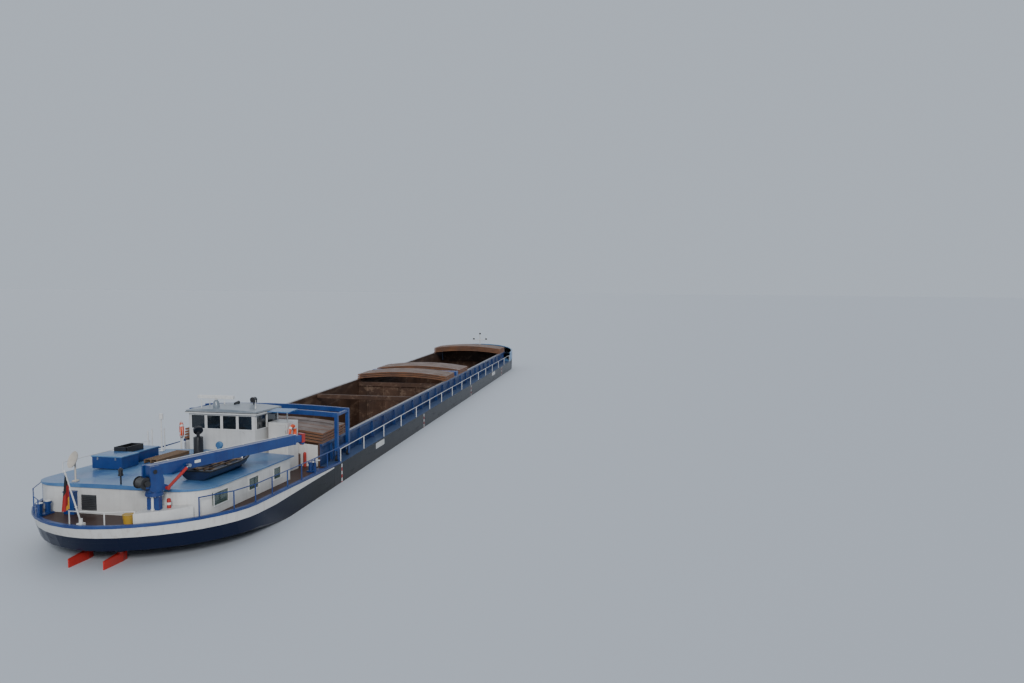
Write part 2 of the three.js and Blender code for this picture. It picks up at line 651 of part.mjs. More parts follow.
function wheelhouseDoor() {
  const y = [BRIDGE_HALF + DOOR_PLAY, BRIDGE_HALF + DOOR_PLAY + DOOR.leaf];
  const leaf = box([DOOR.aft - 0.03, DOOR.fore + 0.03], y, [DEPTH + DOOR.sill - 0.04, DEPTH + DOOR.head + 0.02]);
  const view = box([DOOR.aft + 0.14, DOOR.fore - 0.12], grow(y, 0.1), [DEPTH + 1.6, DEPTH + 2.3]);
  const knuckles = hingeKnuckles(DOOR_PIN.x, DOOR_PIN.y, true, [
    [DOOR.fore, DOOR_PIN.x], [DOOR_PIN.y - 0.012, DOOR_PIN.y + 0.012]]);
  add("wheelhouse_door_port", join([onSheer(cut(leaf, [view])), ...knuckles]), "white");
}

// Entrance booth beside the wheelhouse
const BOOTH = { aft: 11.3, fore: 12.4, inner: -BRIDGE_HALF - 0.14, outer: -2.6, height: 2.25, wall: 0.06 };

const BOOTH_PIN = { x: BOOTH.aft - 0.045, y: BOOTH.outer + 0.03 };

function entranceBooth() {
  const z = [DEPTH, DEPTH + BOOTH.height];
  const shell = box([BOOTH.aft, BOOTH.fore], [BOOTH.outer, BOOTH.inner], z);
  const room = box([BOOTH.aft + BOOTH.wall, BOOTH.fore - BOOTH.wall],
    [BOOTH.outer + BOOTH.wall, BOOTH.inner - BOOTH.wall], [z[0] - 0.1, z[1] - BOOTH.wall]);
  const doorway = box([BOOTH.aft - 0.1, BOOTH.aft + 0.2],
    [BOOTH.outer + 0.14, BOOTH.inner - 0.12], [DEPTH + 0.25, DEPTH + 2.1]);
  const hinges = hingeKnuckles(BOOTH_PIN.x, BOOTH_PIN.y, false, [
    [BOOTH_PIN.x, BOOTH.aft + 0.02], [BOOTH_PIN.y - 0.012, BOOTH_PIN.y + 0.012]]);
  const house = onSheer(cut(shell, [room, doorway]));
  add("entrance_booth", join([house, ...hinges, boardPost()]), "white");
  const x = [BOOTH_PIN.x - 0.025, BOOTH_PIN.x + 0.025];
  const leaf = box(x, [BOOTH_PIN.y + 0.04, BOOTH.inner - 0.08], [DEPTH + 0.22, DEPTH + 2.13]);
  const knuckles = hingeKnuckles(BOOTH_PIN.x, BOOTH_PIN.y, true, [
    [BOOTH_PIN.x - 0.012, BOOTH_PIN.x + 0.012], [BOOTH_PIN.y, BOOTH_PIN.y + 0.06]]);
  add("booth_door", join([onSheer(leaf), ...knuckles]), "white");
}

// Crane: everything is drawn with the boom pointing along +x from the column, then turned to its heading

function toCrane(geometry) {
  return geometry.rotateZ(CRANE_HEADING).translate(CRANE.x, CRANE.y, 0);
}

const SLEW_RING = 4.4;
const HEAD_HALF = 0.25;
const BOOM_HALF = 0.15;
const BOOM_DEPTH = [4.95, 5.33];
const BOOM_BORE = [4.995, 5.285];
const BORE_START = 2.8;
const RAM_PLANE = -0.32;

function craneColumn() {
  const legs = [[-0.22, -0.05], [0.05, 0.22]].map((y) => box([-0.1, 0.1], y, [PLATFORM_TOP, SLEW_RING - 0.1]));
  const pipe = rod([-0.08, 0, PLATFORM_TOP], [-0.08, 0, SLEW_RING - 0.05], 0.052, 8);
  const ring = rod([0, 0, SLEW_RING - 0.12], [0, 0, SLEW_RING - GAP], 0.3, 16);
  add("crane_column", join([...legs, pipe, ring]).translate(CRANE.x, CRANE.y, 0), "royalBlue");
}

function craneHead() {
  const ring = rod([0, 0, SLEW_RING], [0, 0, SLEW_RING + 0.08], 0.27, 16);
  const body = box([-HEAD_HALF, 0.22], [-HEAD_HALF, HEAD_HALF], [SLEW_RING + 0.06, BOOM_DEPTH[0] - 0.15]);
  const cheeks = [-1, 1].map((side) => {
    const outline = [[-0.3, 4.5], [0.22, 4.5], [0.22, 4.83], [0.05, 5.32], [-0.28, 5.32]];
    return crossPrism(outline, side < 0 ? [-HEAD_HALF, -0.19] : [0.19, HEAD_HALF]);
  });
  const lug = crossPrism([[0.15, 4.43], [0.39, 4.43], [0.39, 4.57], [0.2, 4.66]], [-HEAD_HALF, -0.19]);
  const winch = rod([-0.42, -0.2, 4.78], [-0.42, 0.2, 4.78], 0.16, 12);
  const saddle = box([-0.45, -0.2], [-0.22, 0.22], [4.6, 4.74]);
  const pin = rod([BOOM_PIVOT.x, -0.27, BOOM_PIVOT.y], [BOOM_PIVOT.x, 0.27, BOOM_PIVOT.y], 0.05, 20);
  add("crane_head", toCrane(join([ring, body, ...cheeks, lug, saddle, winch, pin])), "royalBlue");
}

function craneBoom() {
  const x = [-0.22, BOOM_LENGTH - 0.5];
  const pinRoom = rod([BOOM_PIVOT.x, -0.3, BOOM_PIVOT.y], [BOOM_PIVOT.x, 0.3, BOOM_PIVOT.y], 0.0514, 20);
  const tube = box(x, [-BOOM_HALF, BOOM_HALF], BOOM_DEPTH);
  const bore = box([BORE_START, x[1] + 0.1], [-0.115, 0.115], BOOM_BORE);
  const boss = rod([RAM_EYE.x, -HEAD_HALF, RAM_EYE.y], [RAM_EYE.x, -BOOM_HALF + 0.01, RAM_EYE.y], 0.08, 14);
  add("crane_boom", toCrane(cut(join([tube, boss]), [bore, pinRoom])), "royalBlue");
}

function boomExtension() {
  const tip = BOOM_LENGTH;
  const tube = box([BORE_START + 0.2, tip - 0.12], [-0.1, 0.1], [BOOM_BORE[0] + GAP, BOOM_BORE[1] - 0.015]);
  const cap = box([tip - 0.14, tip], [-0.14, 0.14], [BOOM_DEPTH[0] + 0.01, BOOM_DEPTH[1] - 0.01]);
  const sheave = rod([tip - 0.05, -0.06, BOOM_DEPTH[0] - 0.01], [tip - 0.05, 0.06, BOOM_DEPTH[0] - 0.01], 0.1, 12);
  add("boom_extension", toCrane(join([tube, cap, sheave])), "royalBlue");
}

// Points along the ram, from its foot towards its eye, by distance. The ram lies beside the boom, to starboard
function ramPoint(distance) {
  const line = RAM_EYE.clone().sub(RAM_FOOT).normalize().multiplyScalar(distance).add(RAM_FOOT);
  return [line.x, RAM_PLANE, line.y];
}

// The boss at either end of the ram, face to face with the head's cheek or with the boom's boss
function ramBoss(at) {
  return rod([at.x, -HEAD_HALF - GAP, at.y], [at.x, RAM_PLANE - 0.06, at.y], 0.062, 12);
}

function craneRam() {
  const closed = RAM_EYE.distanceTo(RAM_FOOT);
  const mouth = closed - 0.12;
  const heel = 0.1;
  const barrel = rod(ramPoint(0.02), ramPoint(mouth), 0.055, 12);
  const bore = rod(ramPoint(heel), ramPoint(mouth + 0.1), 0.037, 12);
  add("ram_barrel", toCrane(cut(join([ramBoss(RAM_FOOT), barrel]), [bore])), "red");
  const rodBar = rod(ramPoint(heel + GAP), ramPoint(closed - 0.02), 0.03, 12);
  add("ram_rod", toCrane(join([rodBar, ramBoss(RAM_EYE)])), "steel");
}

// Hatch gantry on four wheels along the side decks

function gantry() {
  const fore = GANTRY_AFT + GANTRY_LENGTH;
  const axleHeight = DEPTH + WHEEL_RADIUS + GAP;
  const parts = [];
  for (const x of [GANTRY_AFT, fore - 0.16]) {
    const beam = [
      ...crownLine(GANTRY_HALF + 0.08, GANTRY_TOP - 0.05, 0.12, 8),
      ...crownLine(GANTRY_HALF + 0.08, GANTRY_TOP - 0.27, 0.12, 8).reverse(),
    ];
    parts.push(lengthPrism(beam, [x, x + 0.16]));
  }
  for (const side of [-1, 1]) {
    const y = side * GANTRY_HALF;
    for (const x of [GANTRY_AFT, fore - 0.16]) {
      parts.push(box([x, x + 0.16], [y - 0.08, y + 0.08], [3.35, GANTRY_TOP - 0.1]));
      const centre = x + 0.08;
      for (const face of [-1, 1]) {
        const plate = face < 0 ? [y - 0.08, y - 0.055] : [y + 0.055, y + 0.08];
        parts.push(box([centre - 0.08, centre + 0.08], plate, [axleHeight - 0.05, 3.4]));
      }
      parts.push(rod([centre, y - 0.07, axleHeight], [centre, y + 0.07, axleHeight], AXLE_RADIUS, 16));
    }
    parts.push(box([GANTRY_AFT + 0.05, fore - 0.05], [y - 0.06, y + 0.06], [3.35, 3.5]));
    parts.push(box([GANTRY_AFT + 0.05, fore - 0.05], [y - 0.06, y + 0.06], [GANTRY_TOP - 0.22, GANTRY_TOP - 0.1]));
  }
  add("gantry", join(parts), "royalBlue");
  for (const [side, name] of [[-1, "starboard"], [1, "port"]]) {
    for (const [x, end] of [[GANTRY_AFT + 0.08, "aft"], [fore - 0.08, "fore"]]) {
      const y = side * GANTRY_HALF;
      const tread = rod([x, y - 0.045, axleHeight], [x, y + 0.045, axleHeight], WHEEL_RADIUS, 20);
      const hole = rod([x, y - 0.1, axleHeight], [x, y + 0.1, axleHeight], AXLE_RADIUS + 0.0014, 16);
      add(`gantry_wheel_${end}_${name}`, cut(tread, [hole]), "black");
    }
  }
}

// Masts, lights and radar

const RADAR = new THREE.Vector2(10.85, 0.55);
const RADAR_BASE = bridgeRoofTop(RADAR.x) + 0.34;

function radarPedestal() {
  const foot = RADAR_BASE - 0.42;
  const profile = [[0, foot], [0.16, foot], [0.12, foot + 0.34], [0.06, RADAR_BASE], [0, RADAR_BASE]];
  return turned(profile, RADAR.x, RADAR.y, 12);
}

function radarScanner() {
  const { x, y } = RADAR;
  const base = RADAR_BASE + GAP;
  const hub = rod([x, y, base], [x, y, base + 0.08], 0.05, 12);
  const bar = box([x - 0.08, x + 0.08], [y - 0.85, y + 0.85], [base + 0.06, base + 0.2]);
  add("radar_scanner", join([hub, bar]), "white");
}

const BOARD = { x: 12.15, y: -2.2, hinge: 5.6 };

function boardPost() {
  const { x, y, hinge } = BOARD;
  const post = rod([x, y, deckAft(x) + BOOTH.height - 0.05], [x, y, hinge], 0.035, 8);
  return join([post, rod([x, y - 0.4, hinge], [x, y + 0.4, hinge], 0.03, 8)]);
}

function blueBoard() {
  const { x, y, hinge } = BOARD;
  const board = box([x - 0.95, x + 0.04], [y - 0.5, y + 0.5], [hinge + 0.045, hinge + 0.08]);
  const knuckles = [-1, 1].flatMap((side) => {
    const ends = [y + side * (0.4 + GAP), y + side * 0.48].sort((a, b) => a - b);
    return [rod([x, ends[0], hinge], [x, ends[1], hinge], 0.03), box([x - 0.02, x + 0.02], ends, [hinge, hinge + 0.06])];
  });
  add("blue_board", join([board, ...knuckles]), "roofBlue");
}

const MAST_X = 66.5;
const MAST_HINGE = deckFore(MAST_X) + 0.8;

function mastFoot() {
  const cheeks = [[-0.16, -0.1], [0.1, 0.16]].map((y) => {
    return box([MAST_X - 0.12, MAST_X + 0.12], y, [deckFore(MAST_X) - 0.1, MAST_HINGE + 0.1]);
  });
  const pin = rod([MAST_X, -0.15, MAST_HINGE], [MAST_X, 0.15, MAST_HINGE], 0.025, 16);
  return join([...cheeks, pin]);
}

function bowMast() {
  const x = MAST_X;
  const hinge = MAST_HINGE;
  const deck = deckFore(x);
  const hole = rod([x, -0.2, hinge], [x, 0.2, hinge], 0.0263, 16);
  const pole = rod([x, 0, deck + 0.3], [x, 0, hinge + 1.35], 0.055, 10);
  const heel = box([x - 0.07, x + 0.07], [-0.08, 0.08], [deck + 0.25, hinge + 0.12]);
  const yard = rod([x, -0.75, hinge + 0.75], [x, 0.75, hinge + 0.75], 0.03, 8);
  const lights = [-0.7, 0.7].map((y) => rod([x, y, hinge + 0.7], [x, y, hinge + 1.0], 0.09, 10));
  const topLight = rod([x, 0, hinge + 1.3], [x, 0, hinge + 1.58], 0.09, 10);
  add("bow_mast", cut(join([pole, heel, yard, ...lights, topLight]), [hole]), "white");
}

function signalMast() {
  const x = 9.6;
  const y = 2.45;
  const { foot, plate } = roofPlate(x, y, 0.09);
  const pole = rod([x, y, foot], [x, y, foot + 1.5], 0.035);
  const lamp = rod([x, y, foot + 1.4], [x, y, foot + 1.65], 0.09, 10);
  add("signal_mast", join([plate, pole, lamp]), "white");
}

function satelliteDish() {
  const x = 3.1;
  const y = 1.6;
  const { foot, plate } = roofPlate(x, y, 0.09);
  const pole = rod([x, y, foot], [x, y, foot + 0.75], 0.03);
  const dish = turned([[0, 0], [0.15, 0.025], [0.29, 0.08], [0.31, 0.11], [0.15, 0.055], [0, 0.03]], 0, 0, 20);
  dish.rotateY(-1.15).rotateZ(-0.5).translate(x + 0.02, y, foot + 0.75);
  add("satellite_dish", join([plate, pole, dish]), "white");
}

// Flagstaff leaning aft at the stern, with its flag hanging limp from it
const STAFF = { x: 1.3, y: 0.05, lean: 0.68, height: 2.05, radius: 0.03 };
const FLAG = { top: 0.12, hoist: 0.6, drop: 1.35, halfThickness: 0.07 };

function flagstaff() {
  const { x, y, lean, height, radius } = STAFF;
  const foot = deckAft(x);
  const socket = rod([x, y, foot + 0.1], [x, y, foot + 0.25], 0.07, 10);
  const plate = box([x - 0.1, x + 0.1], [y - 0.1, y + 0.1], [foot + 0.1 * AFT_SHEER + GAP, foot + 0.12]);
  const staff = rod([x, y, foot + 0.15], [x - lean, y, foot + height], radius, 16);
  add("flagstaff", join([plate, socket, staff]), "white");
  const slope = lean / (height - 0.15);
  const clear = (radius + GAP) * Math.hypot(slope, 1);
  const hoist = (down) => [x - lean + slope * down - clear, foot + height - down];
  const outline = [
    hoist(FLAG.top), hoist(FLAG.hoist),
    [hoist(FLAG.hoist)[0] - 0.02, foot + height - FLAG.drop + 0.05],
    [FLAG_AFT, foot + height - FLAG.drop],
    [FLAG_AFT + 0.03, foot + height - 0.35],
  ].reverse();
  add("flag", crossPrism(outline, [y - FLAG.halfThickness, y + FLAG.halfThickness]), "red");
}

// Deck and roof equipment

function exhaustStack() {
  const x = 8.9;
  const y = 0.3;
  const { foot, plate } = roofPlate(x, y, 0.22);
  const pipe = rod([x, y, foot], [x, y, foot + 0.75], 0.2, 16);
  const neck = rod([x, y, foot + 0.7], [x, y, foot + 1.1], 0.07, 12);
  const flap = rod([x - 0.06, y - 0.05, foot + 1.02], [x + 0.02, y + 0.02, foot + 1.08], 0.2, 14);
  add("exhaust_stack", join([plate, pipe, neck, flap]), "black");
}

function cowlVent() {
  const x = 9.45;
  const y = -0.35;
  const foot = roofTop(x, y);
  const stem = rod([x, y, foot - 0.05], [x, y, foot + 0.3], 0.1, 12);
  const bowl = new THREE.SphereGeometry(0.16, 12, 8).translate(x, y, foot + 0.36);
  const mouth = rod([x - 0.06, y, foot + 0.36], [x - 0.3, y, foot + 0.36], 0.12, 12);
  return cut(join([stem, bowl]), [mouth]);
}

// Lockers on the roof: aft x, fore x, starboard y, port y, height
const LOCKERS = [[5.3, 6.35, 1.35, 2.6, 0.5], [6.3, 8.3, 1.75, 2.6, 0.42]];

const GANGPLANK = { x: [6.7, 9.0], y: [0.75, 1.36], height: 0.16 };

function roofGear() {
  const [first] = LOCKERS;
  const z = roofTop(first[0], GANGPLANK.y[0]) - deckAft(first[0]) + DEPTH;
  const pieces = LOCKERS.map(([aft, fore, starboard, port, height]) => {
    return box([aft, fore], [starboard, port], [z, z + height]);
  });
  const shelf = box([first[0], GANGPLANK.x[1]], [first[2], first[2] + 0.42], [z, z + 0.05]);
  pieces.push(shelf, box(GANGPLANK.x, GANGPLANK.y, [z, z + GANGPLANK.height]));
  add("roof_lockers", onSheer(join(pieces)), "royalBlue");
}

// The tender on the roof: an open boat with a square stern. height, reach of the stem, half width
const TENDER = { aft: 4.3, shoulder: 6.1, reach: 1.9, y: -2.3, keelHalf: 0.34 };
const TENDER_LEVELS = [[0, 0.75, TENDER.keelHalf], [0.12, 0.92, 0.5], [0.34, 1, 0.6]];

function tenderShape(inset, rise) {
  const foot = roofTop(TENDER.aft, TENDER.y + TENDER.keelHalf) - deckAft(TENDER.aft) + DEPTH;
  return stack(TENDER_LEVELS.map(([height, reach, half], i) => {
    const tip = TENDER.shoulder + TENDER.reach * reach - inset;
    const outline = endOutline(TENDER.aft + inset, TENDER.shoulder, tip, half - inset, 10);
    return outline.map(([x, y]) => new THREE.Vector3(x, y + TENDER.y, foot + height + rise[i]));
  }));
}

function tender() {
  const shell = tenderShape(0, [0, 0, 0]);
  const room = tenderShape(0.05, [0.06, 0.06, 0.2]);
  add("tender", onSheer(cut(shell, [room])), "navy");
}

// A rail of posts and one or two bars through points over the deck
function railing(points, height, radius, postEvery, bars = [1]) {
  const parts = [];
  for (let i = 0; i + 1 < points.length; i += 1) {
    const [a, b] = [points[i], points[i + 1]];
    const span = Math.hypot(b[0] - a[0], b[1] - a[1]);
    const count = Math.max(1, Math.round(span / postEvery));
    for (let k = i === 0 ? 0 : 1; k <= count; k += 1) {
      const x = a[0] + ((b[0] - a[0]) * k) / count;
      const y = a[1] + ((b[1] - a[1]) * k) / count;
      parts.push(rod([x, y, DEPTH], [x, y, DEPTH + height], radius * POST_TO_BAR, RAIL_SIDES));
    }
    for (const share of bars) {
      const along = new THREE.Vector2(b[0] - a[0], b[1] - a[1]).normalize().multiplyScalar(radius);
      const z = DEPTH + height * share - (share === 1 ? radius / 2 : 0);
      const ends = [[a[0] - along.x, a[1] - along.y, z], [b[0] + along.x, b[1] + along.y, z]];
      parts.push(rod(ends[0], ends[1], radius, RAIL_SIDES));
    }
  }
  return join(parts);
}

function sideRails() {
  for (const [side, name] of [[-1, "starboard"], [1, "port"]]) {
    const line = [[13.95, side * 4.04], [HOLD_FORE - 0.2, side * 4.04]];
    add(`side_rail_${name}`, railing(line, 0.66, 0.022, 3.3), "white");
  }
}

function foredeckGear() {
  const x = 64.75;
  const bed = box([x - 0.4, x + 0.4], [-0.9, 0.9], [DEPTH, DEPTH + 0.12]);
  const drums = [-0.55, 0.55].map((y) => rod([x, y - 0.25, DEPTH + 0.42], [x, y + 0.25, DEPTH + 0.42], 0.24, 14));
  const shaft = rod([x, -1.05, DEPTH + 0.42], [x, 1.05, DEPTH + 0.42], 0.07, 10);
  const cheeks = [-0.85, -0.2, 0.2, 0.85].map((y) => box([x - 0.3, x + 0.3], [y - 0.04, y + 0.04], [DEPTH + 0.1, DEPTH + 0.7]));
  const warping = [-1.1, 1.1].map((y) => rod([x, y - 0.1, DEPTH + 0.42], [x, y + 0.1, DEPTH + 0.42], 0.15, 12));
  add("windlass", onSheer(join([bed, ...drums, shaft, ...cheeks, ...warping])), "navy");
  const foot = DEPTH + HATCH.height + GAP;
  const lid = box(grow(HATCH.x, HATCH.rim), grow(HATCH.y, HATCH.rim), [foot, foot + HATCH.lid]);
  add("foredeck_hatch_lid", onSheer(lid), "royalBlue");
}

hullAft();
hullMiddle();
hullFore();
sternCapRail();
bowBulwark();
coamings();
coamingEnds();
holdCrossMembers();
hatchStacks();
propeller();
rudders();
deckhouse();
houseRoof();
cranePlatform();
wheelhouse();
wheelhouseDoor();
entranceBooth();
craneColumn();
craneHead();
craneBoom();
boomExtension();
craneRam();
gantry();
radarScanner();
blueBoard();
bowMast();
signalMast();
satelliteDish();
flagstaff();
exhaustStack();
roofGear();
tender();
sideRails();
foredeckGear();

export default model;
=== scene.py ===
"""Looks of a half-size model of an inland motor cargo vessel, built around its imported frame."""

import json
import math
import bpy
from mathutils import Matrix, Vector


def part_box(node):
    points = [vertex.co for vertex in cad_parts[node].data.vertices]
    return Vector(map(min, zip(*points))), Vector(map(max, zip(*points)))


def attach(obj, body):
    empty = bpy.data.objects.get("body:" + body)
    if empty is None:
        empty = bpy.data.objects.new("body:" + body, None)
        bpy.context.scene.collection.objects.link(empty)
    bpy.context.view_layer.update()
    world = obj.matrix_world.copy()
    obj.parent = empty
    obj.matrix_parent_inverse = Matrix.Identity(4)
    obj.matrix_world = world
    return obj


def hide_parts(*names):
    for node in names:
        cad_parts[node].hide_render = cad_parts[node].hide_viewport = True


bl_info = {
    "name": "Inland motor cargo vessel",
    "version": (1, 0, 0),
    "blender": (4, 5, 0),
    "location": "3D View > Sidebar > Vessel",
    "description": "Paint, glass and deck fittings of an inland motor cargo vessel",
    "category": "Object",
}

import bmesh
import bpy
from mathutils import Matrix, Vector

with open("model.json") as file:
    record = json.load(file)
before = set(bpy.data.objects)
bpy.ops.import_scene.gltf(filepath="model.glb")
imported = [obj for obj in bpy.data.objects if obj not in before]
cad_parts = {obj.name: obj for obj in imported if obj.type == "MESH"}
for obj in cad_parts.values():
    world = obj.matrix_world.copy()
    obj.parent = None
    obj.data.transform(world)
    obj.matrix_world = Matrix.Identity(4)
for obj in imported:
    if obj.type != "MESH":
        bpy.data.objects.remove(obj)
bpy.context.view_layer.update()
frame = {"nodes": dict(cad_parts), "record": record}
NODES = frame["nodes"]
BODY_OF = {node: body for body, nodes in frame["record"]["behaviour"]["bodies"].items() for node in nodes}

# Pieces are drawn in metres of the full-size vessel: x forward, y to port, z up from the bottom
SCALE = 0.5
MIDDLE = 34.25
TO_MODEL = Matrix.Scale(SCALE, 4) @ Matrix.Translation((-MIDDLE, 0, 0))
DEPTH = 2.85
DRAUGHT = 1.9
HOLD_AFT = 13.0
HOLD_FORE = 62.6
AFT_SHEER = 0.045
FORE_SHEER = 0.1
HALF_BEAM = 4.1
COAMING_TOP = 3.9
COAMING_FACE = 3.42
HOUSE_HALF = 3.35
HOUSE_AFT = 2.85
HOUSE_HEIGHT = 1.0
ROOF_LEVEL = DEPTH + HOUSE_HEIGHT
ROOF_CROWN = 0.095
BRIDGE = {"aft": 10.3, "fore": 12.6, "half": 1.55, "sill": 2.02, "head": 2.62, "height": 2.78}
CRANE = Vector((2.3, -1.98, 0))
CRANE_HEADING = math.radians(-22.4)
TO_CRANE = Matrix.Translation(CRANE) @ Matrix.Rotation(CRANE_HEADING, 4, "Z")


def deck(x):
    """Height of the main deck, which rises in a straight line aft and forward of the hold."""
    return DEPTH + AFT_SHEER * max(HOLD_AFT - x, 0) + FORE_SHEER * max(x - HOLD_FORE, 0)


# Materials

RUST = (0.12, 0.045, 0.02)


class Value:
    """A socket of a material, with arithmetic that adds Math nodes."""

    def __init__(self, tree, socket):
        self.tree = tree
        self.socket = socket

    def math(self, operation, first, second=None):
        node = self.tree.nodes.new("ShaderNodeMath")
        node.operation = operation
        for slot, item in zip(node.inputs, (first, second)):
            if isinstance(item, Value):
                self.tree.links.new(item.socket, slot)
            elif item is not None:
                slot.default_value = item
        return Value(self.tree, node.outputs[0])

    def __add__(self, other):
        return self.math("ADD", self, other)

    def __sub__(self, other):
        return self.math("SUBTRACT", self, other)

    def __rsub__(self, other):
        return self.math("SUBTRACT", other, self)

    def __mul__(self, other):
        return self.math("MULTIPLY", self, other)

    def __gt__(self, other):
        return self.math("GREATER_THAN", self, other)

    def __lt__(self, other):
        return self.math("LESS_THAN", self, other)

    def fraction(self):
        return self.math("FRACT", self)

    def size(self):
        return self.math("ABSOLUTE", self)

    def larger(self, other):
        return self.math("MAXIMUM", self, other)

    __radd__ = __add__


class Finish:
    """A procedural material, with its patterns placed in metres of the full-size vessel."""

    def __init__(self, name, roughness=0.5, metallic=0.0, coat=0.0):
        self.material = bpy.data.materials.new(name)
        self.material.use_nodes = True
        self.tree = self.material.node_tree
        self.shader = self.tree.nodes["Principled BSDF"]
        self.shader.inputs["Roughness"].default_value = roughness
        self.shader.inputs["Metallic"].default_value = metallic
        self.shader.inputs["Coat Weight"].default_value = coat
        coordinates = self.tree.nodes.new("ShaderNodeTexCoord")
        self.place = self.node(
            "ShaderNodeMapping",
            inputs={"Vector": Value(self.tree, coordinates.outputs["Object"]),
                    "Scale": (1 / SCALE,) * 3, "Location": (MIDDLE, 0, 0)},
        )

    def node(self, kind, inputs):
        """A node of this kind with these inputs, as its first output."""
        made = self.tree.nodes.new(kind)
        for key, item in inputs.items():
            if isinstance(item, Value):
                self.tree.links.new(item.socket, made.inputs[key])
            else:
                made.inputs[key].default_value = item
        return Value(self.tree, made.outputs[0])

    def noise(self, scale, detail=3.0, roughness=0.55, stretch=None):
        """Noise in metres, optionally with its place scaled by stretch first."""
        place = self.place
        if stretch:
            place = self.node("ShaderNodeMapping", inputs={"Vector": self.place, "Scale": stretch})
        return self.node("ShaderNodeTexNoise", inputs={
            "Vector": place, "Scale": scale, "Detail": detail, "Roughness": roughness})

    def mask(self, low, high, *noise):
        """Noise cut to 0 below low and 1 above high."""
        return self.between(self.noise(*noise), low, high)

    def part(self, socket, letter):
        """One component of a vector socket."""
        parts = self.tree.nodes.new("ShaderNodeSeparateXYZ")
        self.tree.links.new(socket, parts.inputs[0])
        return Value(self.tree, parts.outputs["XYZ".index(letter)])

    def axis(self, letter):
        return self.part(self.place.socket, letter)

    def facing(self, letter):
        return self.part(self.tree.nodes.new("ShaderNodeNewGeometry").outputs["Normal"], letter)

    def between(self, value, low, high):
        """0 below low, 1 above high."""
        return self.node("ShaderNodeMapRange", inputs={
            "Value": value, "From Min": low, "From Max": high, "To Min": 0.0, "To Max": 1.0})

    def mix(self, factor, first, second):
        made = self.tree.nodes.new("ShaderNodeMix")
        made.data_type = "RGBA"
        for key, item in ((0, factor), (6, first), (7, second)):
            if isinstance(item, Value):
                self.tree.links.new(item.socket, made.inputs[key])
            elif key == 0:
                made.inputs[key].default_value = item
            else:
                made.inputs[key].default_value = (*item[:3], 1)
        return Value(self.tree, made.outputs[2])

    def surface(self, **sockets):
        for name, item in sockets.items():
            slot = self.shader.inputs[name.replace("_", " ").title()]
            if isinstance(item, Value):
                self.tree.links.new(item.socket, slot)
            else:
                slot.default_value = (*item, 1) if slot.type == "RGBA" else item
        return self.material

    def bump(self, height, strength, distance):
        normal = self.node("ShaderNodeBump", inputs={
            "Height": height, "Strength": strength, "Distance": distance})
        self.tree.links.new(normal.socket, self.shader.inputs["Normal"])

    def hold_rust(self, pale=0.6):
        """Bare plating inside the hold: rust, pale scrapes from the grab and dark damp patches."""
        patches = self.mask(0.35, 0.65, 0.5, 6.0, 0.65)
        scrapes = self.mask(0.52, 0.66, 1.6, 6.0, 0.7, (0.3, 1.0, 1.3))
        fine = self.mask(0.55, 0.7, 14.0, 5.0, 0.7)
        base = self.mix(patches, (0.035, 0.018, 0.012), (0.085, 0.043, 0.026))
        base = self.mix(scrapes * pale, base, (0.19, 0.125, 0.085))
        return self.mix(fine * 0.6, base, (0.018, 0.011, 0.009))


def plate_seams(finish, along, up, width=0.012):
    """A thin line mask on welded plate edges, at a pitch along the vessel and up it."""
    x = (finish.axis("X") * (1 / along)).fraction()
    z = (finish.axis("Z") * (1 / up)).fraction()
    return (x < width / along).larger(z < width / up)


def worn_paint(name, colour, faded, rust=0.3, streaks=0.3, seams=None):
    """Gloss paint over steel: faded in patches, dirty in runs, with rust where it has chipped."""
    roughness = 0.42
    finish = Finish(name, roughness=roughness, coat=0.15)
    patches = finish.mask(0.38, 0.66, 0.9, 5.0, 0.62)
    runs = finish.mask(0.5, 0.74, 3.0, 4.0, 0.6, (2.6, 2.6, 0.16))
    spots = finish.mask(0.6, 0.68, 6.5, 6.0, 0.7)
    broad = finish.mask(0.45, 0.6, 0.55, 3.0)
    dirt = tuple(0.42 * part + 0.012 for part in colour)
    base = finish.mix(patches, colour, faded)
    base = finish.mix(runs * streaks, base, dirt)
    chips = spots * broad * rust
    base = finish.mix(chips, base, RUST)
    grain = finish.noise(38.0, 2.0)
    height = grain * 0.12 + (1 - spots * broad) * 0.5
    if seams:
        height = height + (1 - plate_seams(finish, *seams)) * 0.8
    finish.bump(height, 0.35, 0.006)
    shine = patches * 0.14 + chips * 0.35 + runs * 0.12 * streaks + (roughness - 0.08)
    return finish.surface(base_color=base, roughness=shine)


